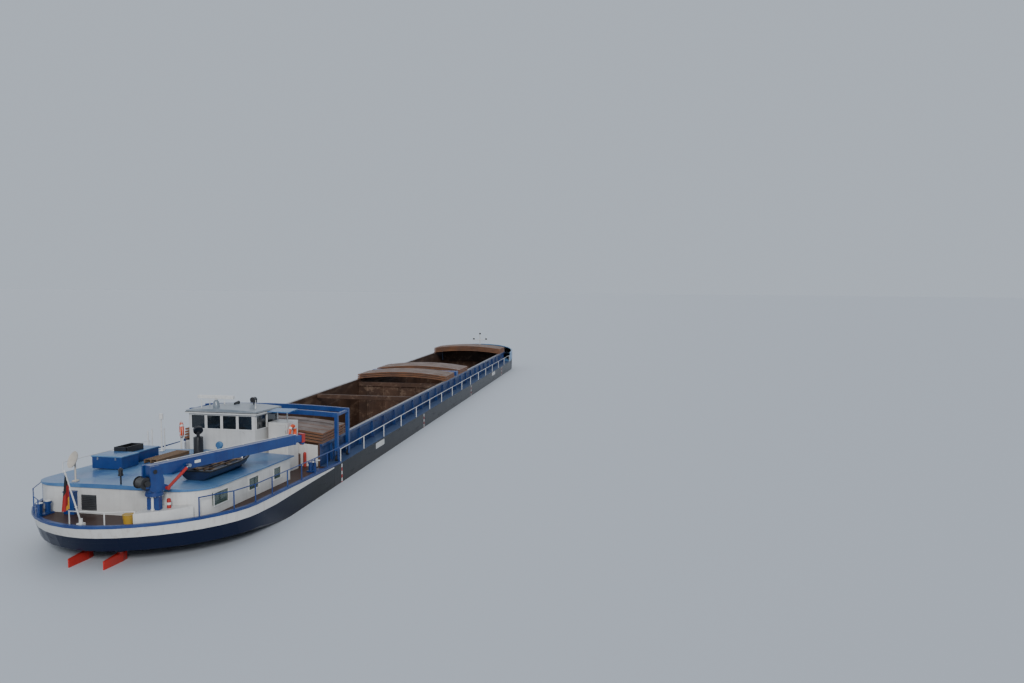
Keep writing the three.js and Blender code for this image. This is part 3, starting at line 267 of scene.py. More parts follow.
def hull_paint(name, aft):
    """Black hull side over dark bottom paint, with blue decks.

    Aft, the side turns navy under a white sheer band, and the deck is brown.
    """
    finish = Finish(name, roughness=0.35, coat=0.05)
    finish.shader.inputs["Specular IOR Level"].default_value = 0.2
    x = finish.axis("X")
    y = finish.axis("Y")
    z = finish.axis("Z")
    rise = ((HOLD_AFT - x) * AFT_SHEER).larger(0.0) + ((x - HOLD_FORE) * FORE_SHEER).larger(0.0)
    level = z - rise
    scuffs = finish.mask(0.56, 0.72, 2.2, 6.0, 0.66, (0.35, 1.0, 1.6))
    runs = finish.mask(0.52, 0.75, 4.0, 4.0, 0.6, (2.2, 2.2, 0.12))
    black = finish.mix(scuffs * 0.25, (0.003, 0.0035, 0.005), (0.018, 0.018, 0.021))
    black = finish.mix(runs * 0.15, black, (0.035, 0.028, 0.025))
    if aft:
        stern = finish.between(HOLD_AFT - x, 2.0, 7.5)
        side = finish.mix(stern, black, (0.003, 0.007, 0.026))
        foot = DEPTH - 0.36 + (x - 7.0).larger(0.0) * 0.05
        white = finish.mix(runs * 0.35, (0.6, 0.59, 0.56), (0.3, 0.22, 0.16))
        side = finish.mix(level > foot, side, white)
        top = finish.mix(scuffs, (0.05, 0.027, 0.021), (0.1, 0.062, 0.05))
    else:
        stain = finish.between(level, 1.95, 2.6)
        side = finish.mix((1 - stain) * 0.3, black, (0.035, 0.028, 0.026))
        rubbed = finish.mask(0.6, 0.7, 1.2, 5.0, 0.7, (0.25, 1.0, 2.4))
        side = finish.mix(rubbed * 0.15, side, (0.04, 0.045, 0.055))
        top = finish.mix(scuffs, (0.045, 0.075, 0.15), (0.12, 0.15, 0.2))
        bow = finish.between(x, HOLD_FORE, HOLD_FORE + 0.1)
        top = finish.mix(bow, top, finish.mix(scuffs, (0.1, 0.22, 0.4), (0.24, 0.33, 0.42)))
    wet = z < DRAUGHT + 0.02
    side = finish.mix(wet, side, (0.03, 0.009, 0.008))
    up = finish.facing("Z") > 0.7
    base = finish.mix(up, side, top)
    inside = (y.size() < COAMING_FACE - 0.02) * (x > HOLD_AFT - 0.01) * (x < HOLD_FORE + 0.01)
    base = finish.mix(inside, base, finish.hold_rust())
    seams = plate_seams(finish, 6.0, 1.4, 0.02)
    dents = finish.noise(0.7, 2.0)
    finish.bump((1 - seams) * 0.7 + dents * 1.6 + finish.noise(30.0, 2.0) * 0.1, 0.3, 0.012)
    return finish.surface(base_color=base, roughness=scuffs * 0.2 + up * 0.25 + inside * 0.35 + 0.28)


def coaming_paint(name):
    """Royal blue coaming plates with chipped grey rims, and the rusty inner face that the grab scrapes."""
    finish = Finish(name, roughness=0.45, coat=0.15)
    y = finish.axis("Y")
    z = finish.axis("Z")
    patches = finish.mask(0.38, 0.66, 0.9, 5.0, 0.62)
    runs = finish.mask(0.5, 0.74, 3.0, 4.0, 0.6, (2.6, 2.6, 0.16))
    chips = finish.mask(0.56, 0.66, 4.5, 6.0, 0.72)
    base = finish.mix(patches, (0.006, 0.025, 0.11), (0.014, 0.045, 0.15))
    base = finish.mix(runs * 0.45, base, (0.02, 0.02, 0.03))
    base = finish.mix(chips * 0.55, base, (0.055, 0.03, 0.022))
    rim = (z > COAMING_TOP - 0.07) * (finish.facing("Z") > 0.6)
    base = finish.mix(rim, base, finish.mix(chips, (0.16, 0.16, 0.17), (0.12, 0.07, 0.045)))
    inside = y.size() < COAMING_FACE - 0.02
    base = finish.mix(inside * (1 - rim), base, finish.hold_rust())
    seams = plate_seams(finish, 5.9, 4.0, 0.02)
    finish.bump((1 - seams) * 0.8 + (1 - chips) * 0.5 + finish.noise(38.0, 2.0) * 0.12, 0.35, 0.008)
    return finish.surface(base_color=base, roughness=chips * 0.25 + patches * 0.12 + inside * 0.2 + 0.32)


def hold_steel(name, pale):
    """Rusty plates of the hold's floor and bulkheads."""
    finish = Finish(name, roughness=0.8, metallic=0.15)
    seams = plate_seams(finish, 3.0, 1.5, 0.025)
    grain = finish.noise(14.0, 5.0, 0.7)
    finish.bump(grain * 0.5 + (1 - seams) + finish.noise(0.9, 2.0) * 2.0, 0.5, 0.012)
    return finish.surface(base_color=finish.hold_rust(pale), roughness=grain * 0.2 + 0.7)


def cover_paint(name):
    """Hatch covers: grey-brown paint on top with rusty runs, and side faces in an orange tan that is painted
    low, orange sunlight.
    """
    finish = Finish(name, roughness=0.6)
    patches = finish.mask(0.35, 0.65, 1.1, 5.0, 0.6)
    runs = finish.mask(0.48, 0.7, 3.0, 5.0, 0.65, (1.0, 0.3, 1.0))
    # Faces that look up keep the greyer brown; all side faces take an orange tan, which is painted light of
    # a low orange sun rather than a paint of their own.
    up = finish.between(finish.facing("Z"), 0.5, 0.9)
    edge = finish.mix(patches, (0.23, 0.1, 0.045), (0.13, 0.062, 0.038))
    top = finish.mix(patches, (0.12, 0.088, 0.073), (0.2, 0.155, 0.13))
    top = finish.mix(runs * 0.6, top, (0.1, 0.05, 0.03))
    base = finish.mix(up, edge, top)
    finish.bump(finish.noise(24.0, 3.0) * 0.3 + patches * 0.4, 0.3, 0.006)
    return finish.surface(base_color=base, roughness=0.72 - patches * 0.15)


def roof_paint(name, colour, faded):
    """Deck paint on a roof: bleached in pools, with dark specks and sheet seams."""
    finish = Finish(name, roughness=0.4, coat=0.1)
    pools = finish.mask(0.42, 0.6, 0.7, 4.0, 0.6)
    fine = finish.mask(0.55, 0.7, 9.0, 5.0, 0.7)
    base = finish.mix(pools, colour, faded)
    base = finish.mix(fine * 0.25, base, tuple(0.5 * part for part in colour))
    seams = (finish.axis("X") * 0.55).fraction() < 0.012
    base = finish.mix(seams * 0.5, base, tuple(0.35 * part for part in colour))
    finish.bump((1 - seams) * 0.6 + finish.noise(40.0, 2.0) * 0.2, 0.3, 0.006)
    return finish.surface(base_color=base, roughness=pools * 0.18 + 0.3)


def bright_metal(name, colour, roughness=0.32):
    """Bare metal with brush marks."""
    finish = Finish(name, roughness=roughness, metallic=1.0)
    brushed = finish.noise(60.0, 3.0, 0.6, (1.0, 1.0, 6.0))
    tint = finish.mix(finish.between(brushed, 0.3, 0.7), colour, tuple(0.7 * part for part in colour))
    finish.bump(brushed, 0.12, 0.002)
    return finish.surface(base_color=tint, roughness=brushed * 0.2 + (roughness - 0.08))


def moulded(name, colour, roughness=0.5, grime=0.3):
    """Plastic, rubber or cloth that is one colour with grime in it."""
    finish = Finish(name, roughness=roughness)
    worn = finish.mask(0.45, 0.7, 5.0, 5.0, 0.65)
    base = finish.mix(worn * grime, colour, tuple(0.45 * part + 0.01 for part in colour))
    finish.bump(finish.noise(55.0, 2.0), 0.15, 0.003)
    return finish.surface(base_color=base, roughness=worn * 0.15 + (roughness - 0.05))


def glass(name, colour, alpha):
    """Dark glazing with faint smears, partly seen through."""
    finish = Finish(name, roughness=0.06, coat=0.6)
    smear = finish.noise(3.0, 3.0)
    finish.bump(smear, 0.05, 0.004)
    base = finish.mix(finish.between(smear, 0.3, 0.8), colour, tuple(1.6 * part for part in colour))
    return finish.surface(base_color=base, alpha=alpha, roughness=smear * 0.08 + 0.03)


def planks(name, colour, dark):
    """Weathered boards, with their grain along the vessel."""
    finish = Finish(name, roughness=0.75)
    grain = finish.noise(12.0, 5.0, 0.65, (0.3, 4.0, 4.0))
    base = finish.mix(finish.between(grain, 0.35, 0.7), colour, dark)
    finish.bump(grain, 0.4, 0.004)
    return finish.surface(base_color=base, roughness=grain * 0.2 + 0.62)


def flag_cloth(name):
    """Three bands of dyed cloth that slant across the flag's own face, with a fine weave."""
    finish = Finish(name, roughness=0.8)
    own = finish.tree.nodes.new("ShaderNodeUVMap").outputs[0]
    out, held = finish.part(own, "X"), finish.part(own, "Y")
    across = held * 0.5 + (1 - out) * 0.5
    base = finish.mix(across > 1 / 3, (0.5, 0.25, 0.02), (0.27, 0.01, 0.008))
    base = finish.mix(across > 2 / 3, base, (0.008, 0.008, 0.009))
    weave = finish.noise(90.0, 2.0, 0.5, (1.0, 1.0, 0.4))
    finish.bump(weave, 0.25, 0.002)
    return finish.surface(base_color=base, roughness=weave * 0.1 + 0.75)


PAINT = {}


def mix_paints():
    """Every material of the vessel, by the name that the pieces use."""
    PAINT.update({
        "hull aft": hull_paint("hull_paint_aft", True),
        "hull": hull_paint("hull_paint", False),
        "royal": worn_paint("royal_blue", (0.005, 0.027, 0.14), (0.012, 0.05, 0.19), rust=0.25),
        "coaming": coaming_paint("coaming_blue"),
        "bow blue": worn_paint("foredeck_blue", (0.09, 0.2, 0.37), (0.2, 0.3, 0.42), rust=0.3),
        "navy": worn_paint("navy_blue", (0.004, 0.011, 0.042), (0.012, 0.024, 0.07), rust=0.25),
        "white": worn_paint("off_white", (0.6, 0.59, 0.565), (0.5, 0.49, 0.47), rust=0.35, streaks=0.22,
                            seams=(2.4, 4.0)),
        "roof": roof_paint("roof_blue", (0.04, 0.12, 0.28), (0.085, 0.19, 0.34)),
        "bridge roof": roof_paint("wheelhouse_roof_grey", (0.17, 0.2, 0.23), (0.25, 0.275, 0.3)),
        "covers": cover_paint("hatch_cover_sunlit_tan"),
        "rust": hold_steel("hold_rust", 0.55),
        "hold wall": hold_steel("hold_wall_rust", 0.8),
        "red": worn_paint("signal_red", (0.4, 0.012, 0.008), (0.3, 0.03, 0.02), rust=0.3),
        "rudder": worn_paint("rudder_red", (0.5, 0.012, 0.006), (0.38, 0.03, 0.02), rust=0.35),
        "black": worn_paint("satin_black", (0.008, 0.008, 0.01), (0.022, 0.022, 0.023), rust=0.2),
        "grey": worn_paint("dark_grey", (0.035, 0.038, 0.042), (0.07, 0.07, 0.07), rust=0.3),
        "deck brown": worn_paint("deck_brown", (0.06, 0.032, 0.024), (0.11, 0.068, 0.052), rust=0.6),
        "yellow": worn_paint("deep_yellow", (0.5, 0.29, 0.02), (0.38, 0.25, 0.06), rust=0.4),
        "bronze": bright_metal("bronze", (0.5, 0.31, 0.12)),
        "steel": bright_metal("turned_steel", (0.55, 0.57, 0.6), 0.25),
        "wire": bright_metal("wire_rope", (0.12, 0.12, 0.12), 0.5),
        "rubber": moulded("black_rubber", (0.012, 0.012, 0.013), 0.75),
        "orange": moulded("lifebuoy_orange", (0.65, 0.07, 0.01), 0.45),
        "plastic white": moulded("white_plastic", (0.64, 0.635, 0.61), 0.4),
        "cream": moulded("dish_cream", (0.5, 0.45, 0.38), 0.5),
        "curtain": moulded("curtain_cloth", (0.25, 0.3, 0.24), 0.9, 0.15),
        "interior": moulded("wheelhouse_lining", (0.05, 0.035, 0.025), 0.6),
        "lamp glass": moulded("lamp_lens", (0.5, 0.52, 0.5), 0.15, 0.1),
        "glass": glass("window_glass", (0.01, 0.014, 0.018), 0.82),
        "house glass": glass("house_window_glass", (0.07, 0.1, 0.085), 0.6),
        "wood": planks("weathered_planks", (0.2, 0.12, 0.06), (0.08, 0.048, 0.027)),
        "flag": flag_cloth("flag_cloth"),
    })


# Building pieces

# Angles in degrees from which an edge is shaded sharp, and is bevelled
PIECE_SHARP = 35
DRESSED_SHARP = 32
CLOTH_SHARP = 60
BEVEL_FROM = 32
# Joins the corners of a CAD copy, in metres of the model, and merges its flat faces, in degrees
WELD = 0.00003
FLAT_WITHIN = 0.6


class Work:
    """A piece being made with bmesh operators, in metres of the full-size vessel."""

    def __init__(self):
        self.mesh = bmesh.new()

    def place(self, verts, matrix):
        bmesh.ops.transform(self.mesh, matrix=matrix, verts=verts)

    def box(self, x, y, z, turn=None):
        size = Vector((x[1] - x[0], y[1] - y[0], z[1] - z[0]))
        centre = Vector((x[0] + x[1], y[0] + y[1], z[0] + z[1])) / 2
        matrix = Matrix.Translation(centre) @ (turn or Matrix()) @ Matrix.Diagonal((*size, 1))
        return bmesh.ops.create_cube(self.mesh, size=1, matrix=matrix)["verts"]

    def rod(self, start, end, radius, sides=12, far=None):
        a, b = Vector(start), Vector(end)
        turn = (b - a).to_track_quat("Z", "Y").to_matrix().to_4x4()
        matrix = Matrix.Translation((a + b) / 2) @ turn
        bmesh.ops.create_cone(
            self.mesh, cap_ends=True, segments=sides, radius1=radius,
            radius2=radius if far is None else far, depth=(b - a).length, matrix=matrix)

    def ball(self, centre, radius, squash=(1, 1, 1), sides=14):
        matrix = Matrix.Translation(centre) @ Matrix.Diagonal((*squash, 1))
        bmesh.ops.create_uvsphere(
            self.mesh, u_segments=sides, v_segments=max(6, sides // 2), radius=radius, matrix=matrix)

    def ring(self, centre, axis, radius, thickness, sides=24, tube=8):
        """A full ring about an axis."""
        turn = Vector(axis).to_track_quat("Z", "Y").to_matrix().to_4x4()
        place = Matrix.Translation(centre) @ turn
        section = Matrix.Translation((radius, 0, 0)) @ Matrix.Rotation(math.pi / 2, 4, "X")
        made = bmesh.ops.create_circle(self.mesh, segments=tube, radius=thickness, matrix=place @ section)
        edges = list({edge for vert in made["verts"] for edge in vert.link_edges})
        bmesh.ops.spin(
            self.mesh, geom=edges, cent=centre, axis=Vector(axis).normalized(), dvec=(0, 0, 0),
            angle=2 * math.pi, steps=sides, use_merge=True, use_duplicate=False)

    def pipe(self, points, radius, sides=8, closed=False):
        """Round bars through points, with a ball at each corner."""
        ends = list(points) + ([points[0]] if closed else [])
        for a, b in zip(ends, ends[1:]):
            self.rod(a, b, radius, sides)
        for point in (ends if closed else ends[1:-1]):
            self.ball(point, radius, sides=sides)

    def extruded(self, points, along):
        """A flat outline pushed along a vector."""
        verts = [self.mesh.verts.new(point) for point in points]
        face = self.mesh.faces.new(verts)
        pushed = bmesh.ops.extrude_face_region(self.mesh, geom=[face])
        moved = [item for item in pushed["geom"] if isinstance(item, bmesh.types.BMVert)]
        bmesh.ops.translate(self.mesh, verts=moved, vec=along)
        return verts + moved

    def finish(self, name, paint, body="root", bevel=0.0, turn=None, replaces=()):
        """Makes the piece: normals outwards, soft edges, its material, its place, its body."""
        if turn:
            bmesh.ops.transform(self.mesh, matrix=turn, verts=self.mesh.verts)
        bmesh.ops.transform(self.mesh, matrix=TO_MODEL, verts=self.mesh.verts)
        bmesh.ops.recalc_face_normals(self.mesh, faces=self.mesh.faces)
        settle(self.mesh, name, paint, body, bevel, PIECE_SHARP, replaces)


def raise_to_deck(*works):
    """Lifts what was drawn over a level deck onto the sheer."""
    for work in works:
        for vert in work.mesh.verts:
            vert.co.z += deck(vert.co.x) - DEPTH


def mesh_data(mesh, name):
    """What was drawn, as an object's data."""
    data = bpy.data.meshes.new(name)
    mesh.to_mesh(data)
    mesh.free()
    return data


def add_object(name, data):
    """An object in the scene."""
    made = bpy.data.objects.new(name, data)
    bpy.context.scene.collection.objects.link(made)
    return made


def settle(mesh, name, paint, body, bevel, sharp, replaces):
    """Makes the piece's object, with its paint, soft edges and body."""
    data = mesh_data(mesh, name)
    data.materials.append(PAINT[paint])
    data.polygons.foreach_set("use_smooth", [True] * len(data.polygons))
    data.set_sharp_from_angle(angle=math.radians(sharp))
    piece = add_object(name, data)
    if bevel:
        soften(piece, bevel * SCALE)
    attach(piece, body)
    if replaces:
        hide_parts(*replaces)
    return piece


def soften(piece, width):
    """A live bevel of this width on the piece's sharp edges."""
    edge = piece.modifiers.new("soft edges", "BEVEL")
    edge.width = width
    edge.segments = 2
    edge.limit_method = "ANGLE"
    edge.angle_limit = math.radians(BEVEL_FROM)
    edge.harden_normals = True
    edge.use_clamp_overlap = True


def dress(node, paint, bevel):
    """A copy of a CAD node with its triangles merged and its edges softened, in its own paint."""
    mesh = bmesh.new()
    mesh.from_mesh(NODES[node].data)
    bmesh.ops.remove_doubles(mesh, verts=mesh.verts, dist=WELD)
    bmesh.ops.dissolve_limit(
        mesh, angle_limit=math.radians(FLAT_WITHIN), verts=mesh.verts, edges=mesh.edges,
        use_dissolve_boundaries=False)
    settle(mesh, node + "_finished", paint, BODY_OF[node], bevel, DRESSED_SHARP, (node,))


# Sizes that a user would change


class VESSEL_PG_sizes(bpy.types.PropertyGroup):
    """Sizes of the fittings, in metres of the full-size vessel."""

    lifebuoy_radius: bpy.props.FloatProperty(
        name="Lifebuoy radius", description="Middle of the ring", default=0.29, unit="LENGTH")
    frame_width: bpy.props.FloatProperty(
        name="Window frame", description="Width of a window's frame", default=0.03, unit="LENGTH")


class VESSEL_PG_stage(bpy.types.PropertyGroup):
    """The camera that repeats the photograph, and the pale floor at the waterline."""

    focal_pixels: bpy.props.FloatProperty(
        name="Focal length", description="In pixels of the photograph", default=805.2)
    yaw: bpy.props.FloatProperty(
        name="Yaw", description="Heading to port of the bow", default=math.radians(9.355), subtype="ANGLE")
    roll: bpy.props.FloatProperty(
        name="Roll", description="Turn of the frame", default=math.radians(0.355), subtype="ANGLE")
    horizon: bpy.props.FloatProperty(
        name="Horizon", description="Row of the horizon in the photograph", default=278.84)
    position: bpy.props.FloatVectorProperty(
        name="Position", description="Camera, in metres of the full-size vessel above its bottom",
        default=(-22.176, -18.264, 11.656), subtype="TRANSLATION")
    floor_colour: bpy.props.FloatVectorProperty(
        name="Floor", description="Pale studio floor", default=(0.5, 0.53, 0.57), subtype="COLOR")


def sizes():
    return bpy.context.scene.vessel_sizes


# Operators


class VesselOperator(bpy.types.Operator):
    """A group of pieces."""

    bl_options = {"REGISTER"}

    def execute(self, context):
        self.make()
        return {"FINISHED"}


class VESSEL_OT_stage(VesselOperator):
    """Floor at the waterline, soft lights and the camera."""

    bl_idname = "vessel.stage"
    bl_label = "Stage"

    def make(self):
        stage = bpy.context.scene.vessel_stage
        self.camera(stage)
        self.floor(stage)
        self.lights()

    def camera(self, stage):
        width, height, sensor = 1024, 683, 36.0
        data = bpy.data.cameras.new("camera")
        data.sensor_width = sensor
        data.lens = stage.focal_pixels / width * sensor
        data.clip_start, data.clip_end = 0.1, 500
        pitch = math.atan((height / 2 - stage.horizon) / stage.focal_pixels)
        forward = Vector((math.cos(stage.yaw) * math.cos(pitch), math.sin(stage.yaw) * math.cos(pitch),
                          -math.sin(pitch)))
        right = Vector((math.sin(stage.yaw), -math.cos(stage.yaw), 0))
        up = right.cross(forward)
        turned_right = right * math.cos(stage.roll) + up * math.sin(stage.roll)
        turned_up = up * math.cos(stage.roll) - right * math.sin(stage.roll)
        camera = add_object("camera", data)
        axes = Matrix((turned_right, turned_up, -forward)).transposed().to_4x4()
        camera.matrix_world = Matrix.Translation(TO_MODEL @ Vector(stage.position)) @ axes
        bpy.context.scene.camera = camera

    def floor(self, stage):
        """A plane with a gap inside the hull's sides, where the hold lies lower than the water outside."""
        mesh = bmesh.new()
        reach = 520.0
        hold = ((HOLD_AFT - 0.5, HOLD_FORE + 0.5), (-3.8, 3.8))
        strips = [((-reach, reach), (hold[1][1], reach)), ((-reach, reach), (-reach, hold[1][0])),
                  ((-reach, hold[0][0]), hold[1]), ((hold[0][1], reach), hold[1])]
        for x, y in strips:
            made = bmesh.ops.create_grid(mesh, x_segments=1, y_segments=1, size=0.5)["verts"]
            size = Matrix.Diagonal((x[1] - x[0], y[1] - y[0], 1, 1))
            place = Matrix.Translation(((x[0] + x[1]) / 2, (y[0] + y[1]) / 2, DRAUGHT))
            bmesh.ops.transform(mesh, matrix=TO_MODEL @ place @ size, verts=made)
        data = mesh_data(mesh, "floor")
        floor = add_object("floor", data)
        finish = Finish("studio_floor", roughness=0.6)
        data.materials.append(finish.surface(base_color=tuple(stage.floor_colour)))

    def lights(self):
        world = bpy.context.scene.world or bpy.data.worlds.new("sky")
        bpy.context.scene.world = world
        world.use_nodes = True
        world.node_tree.nodes["Background"].inputs["Color"].default_value = (0.78, 0.87, 1.0, 1)
        world.node_tree.nodes["Background"].inputs["Strength"].default_value = 0.62
        for name, energy, angle, turn in (
            ("key", 2.1, 14, (62, 0, -64)),
            ("fill", 0.35, 60, (50, 0, 120)),
        ):
            data = bpy.data.lights.new(name, "SUN")
            data.energy = energy
            data.angle = math.radians(angle)
            light = add_object(name, data)
            light.rotation_euler = tuple(math.radians(part) for part in turn)


# CAD nodes that keep their shape, with their paint and edge softness
DRESSED = {
    "hull aft": [("hull_aft", 0.012)],
    "hull": [("hull_side_starboard", 0.012), ("hull_side_port", 0.012), ("hull_fore", 0.012)],
    "rust": [("hold_floor", 0.0), ("hold_tie_beam", 0.015)],
    "hold wall": [("hold_bulkhead", 0.01)],
    "coaming": [("coaming_starboard", 0.008), ("coaming_port", 0.008), ("coaming_fore", 0.01)],
    "bow blue": [("bow_bulwark", 0.012)],
    "white": [
        ("coaming_aft", 0.01), ("house_wall_aft", 0.01), ("house_wall_starboard", 0.01),
        ("house_wall_port", 0.01), ("house_wall_front", 0.01), ("crane_platform", 0.008),
        ("wheelhouse_wall_aft", 0.01), ("wheelhouse_wall_front", 0.01),
        ("wheelhouse_wall_starboard", 0.01), ("wheelhouse_wall_port", 0.008),
        ("wheelhouse_door_port", 0.008), ("entrance_booth", 0.01), ("booth_door", 0.008),
        ("side_rail_starboard", 0.0), ("side_rail_port", 0.0)],
    "roof": [("house_roof", 0.012), ("blue_board", 0.006)],
    "bridge roof": [("wheelhouse_roof", 0.012)],
    "royal": [
        ("cap_rail_stern", 0.006), ("hatch_cross_beam", 0.015), ("crane_column", 0.012),
        ("crane_head", 0.012), ("crane_boom", 0.015), ("boom_extension", 0.012), ("gantry", 0.01),
        ("foredeck_hatch_lid", 0.015)],
    "navy": [("windlass", 0.01), ("tender", 0.012)],
    "rudder": [("rudder_starboard", 0.01), ("rudder_port", 0.01)],
    "red": [("ram_barrel", 0.008)],
    "steel": [("ram_rod", 0.004)],
    "bronze": [("propeller", 0.01)],
    "black": [("exhaust_stack", 0.01)],
    "rubber": [
        ("gantry_wheel_aft_starboard", 0.01), ("gantry_wheel_fore_starboard", 0.01),
        ("gantry_wheel_aft_port", 0.01), ("gantry_wheel_fore_port", 0.01)],
    "plastic white": [("radar_scanner", 0.03), ("bow_mast", 0.006), ("signal_mast", 0.006)],
    "cream": [("satellite_dish", 0.004)],
}


class VESSEL_OT_shell(VesselOperator):
    """The vessel's own plating, walls and machinery, with softened edges and paint."""

    bl_idname = "vessel.shell"
    bl_label = "Shell"

    def make(self):
        for paint, nodes in DRESSED.items():
            for node, bevel in nodes:
                dress(node, paint, bevel)


class VESSEL_OT_hull_marks(VesselOperator):
    """Draught scales and bare name plates on the hull's sides."""

    bl_idname = "vessel.hull_marks"
    bl_label = "Hull marks"

    proud = 0.008
    scale_places = (13.95, 28.47, 43.0, 57.5)
    scale_foot = 1.6
    scale_half = 0.05
    scale_steps = 7
    step_height = 0.17
    plate_places = (((18.9, 20.3), 2.46), ((52.3, 53.8), 2.48))
    plate_height = 0.3

    def make(self):
        scale_red, scale_white, plates = Work(), Work(), Work()
        half, height = self.scale_half, self.step_height
        for side in (-1, 1):
            y = sorted((side * HALF_BEAM, side * (HALF_BEAM + self.proud)))
            for x in self.scale_places:
                for step in range(self.scale_steps):
                    z = self.scale_foot + height * step
                    work = scale_red if step % 2 else scale_white
                    work.box((x - half, x + half), y, (z, z + height))
            for x, z in self.plate_places:
                plates.box(x, y, (z, z + self.plate_height))
        scale_red.finish("draught_scale_red", "red")
        scale_white.finish("draught_scale_white", "plastic white")
        plates.finish("hull_name_plates", "white", bevel=0.003)


class VESSEL_OT_hatch_covers(VesselOperator):
    """Stacks of crowned hatch covers, each with sheet joints, end lips and lifting lugs."""

    bl_idname = "vessel.hatch_covers"
    bl_label = "Hatch covers"

    half = 3.5
    crown = 0.26
    pitch = 0.13
    thick = 0.035
    edge_height = 0.09
    lip = 0.05
    joints = 4
    facets = 20
    inset = 0.03
    # Node, aft end, length and number of covers of each stack
    stacks = (
        ("hatch_stack_aft", 13.05, 3.0, 4), ("hatch_stack_middle_aft", 36.75, 2.8, 3),
        ("hatch_stack_middle_fore", 41.3, 3.0, 3), ("hatch_stack_fore", 59.6, 2.9, 4))

    def make(self):
        for node, aft, length, count in self.stacks:
            work = Work()
            for layer in range(count):
                step = self.inset * layer
                self.cover(work, aft + step, aft + length - step, COAMING_TOP + layer * self.pitch)
            work.finish(node + "_covers", "covers", bevel=0.006, replaces=(node,))

    def line(self, z):
        """The crowned line across the hold, from port to starboard."""
        steps = self.facets
        return [(self.half - 2 * self.half * i / steps,
                 z + self.crown * (1 - (1 - 2 * i / steps) ** 2)) for i in range(steps + 1)]

    def cover(self, work, aft, fore, z):
        """One cover: crowned sheet, end lips, raised joints, side edges and lifting lugs."""
        top = self.line(z + self.edge_height)
        under = self.line(z + self.edge_height - self.thick)[::-1]
        work.extruded([(aft, y, h) for y, h in top + under], (fore - aft, 0, 0))
        for x in (aft, fore - self.lip):
            edge = [(x, y, h) for y, h in self.line(z + 0.07) + self.line(z)[::-1]]
            work.extruded(edge, (self.lip, 0, 0))
        for i in range(1, self.joints):
            x = aft + (fore - aft) * i / self.joints
            seam = self.line(z + 0.104) + self.line(z + 0.085)[::-1]
            work.extruded([(x - 0.02, y, h) for y, h in seam], (0.04, 0, 0))
        for side in (-1, 1):
            y = sorted((side * 3.44, side * 3.49))
            work.box((aft + 0.1, fore - 0.1), y, (z, z + self.edge_height))
            for x in (aft + 0.35, fore - 0.35):
                y = side * 3.1
                h = z + self.edge_height + self.crown * (1 - (y / self.half) ** 2)
                work.ring((x, y, h + 0.01), (1, 0, 0), 0.035, 0.009, 12, 6)


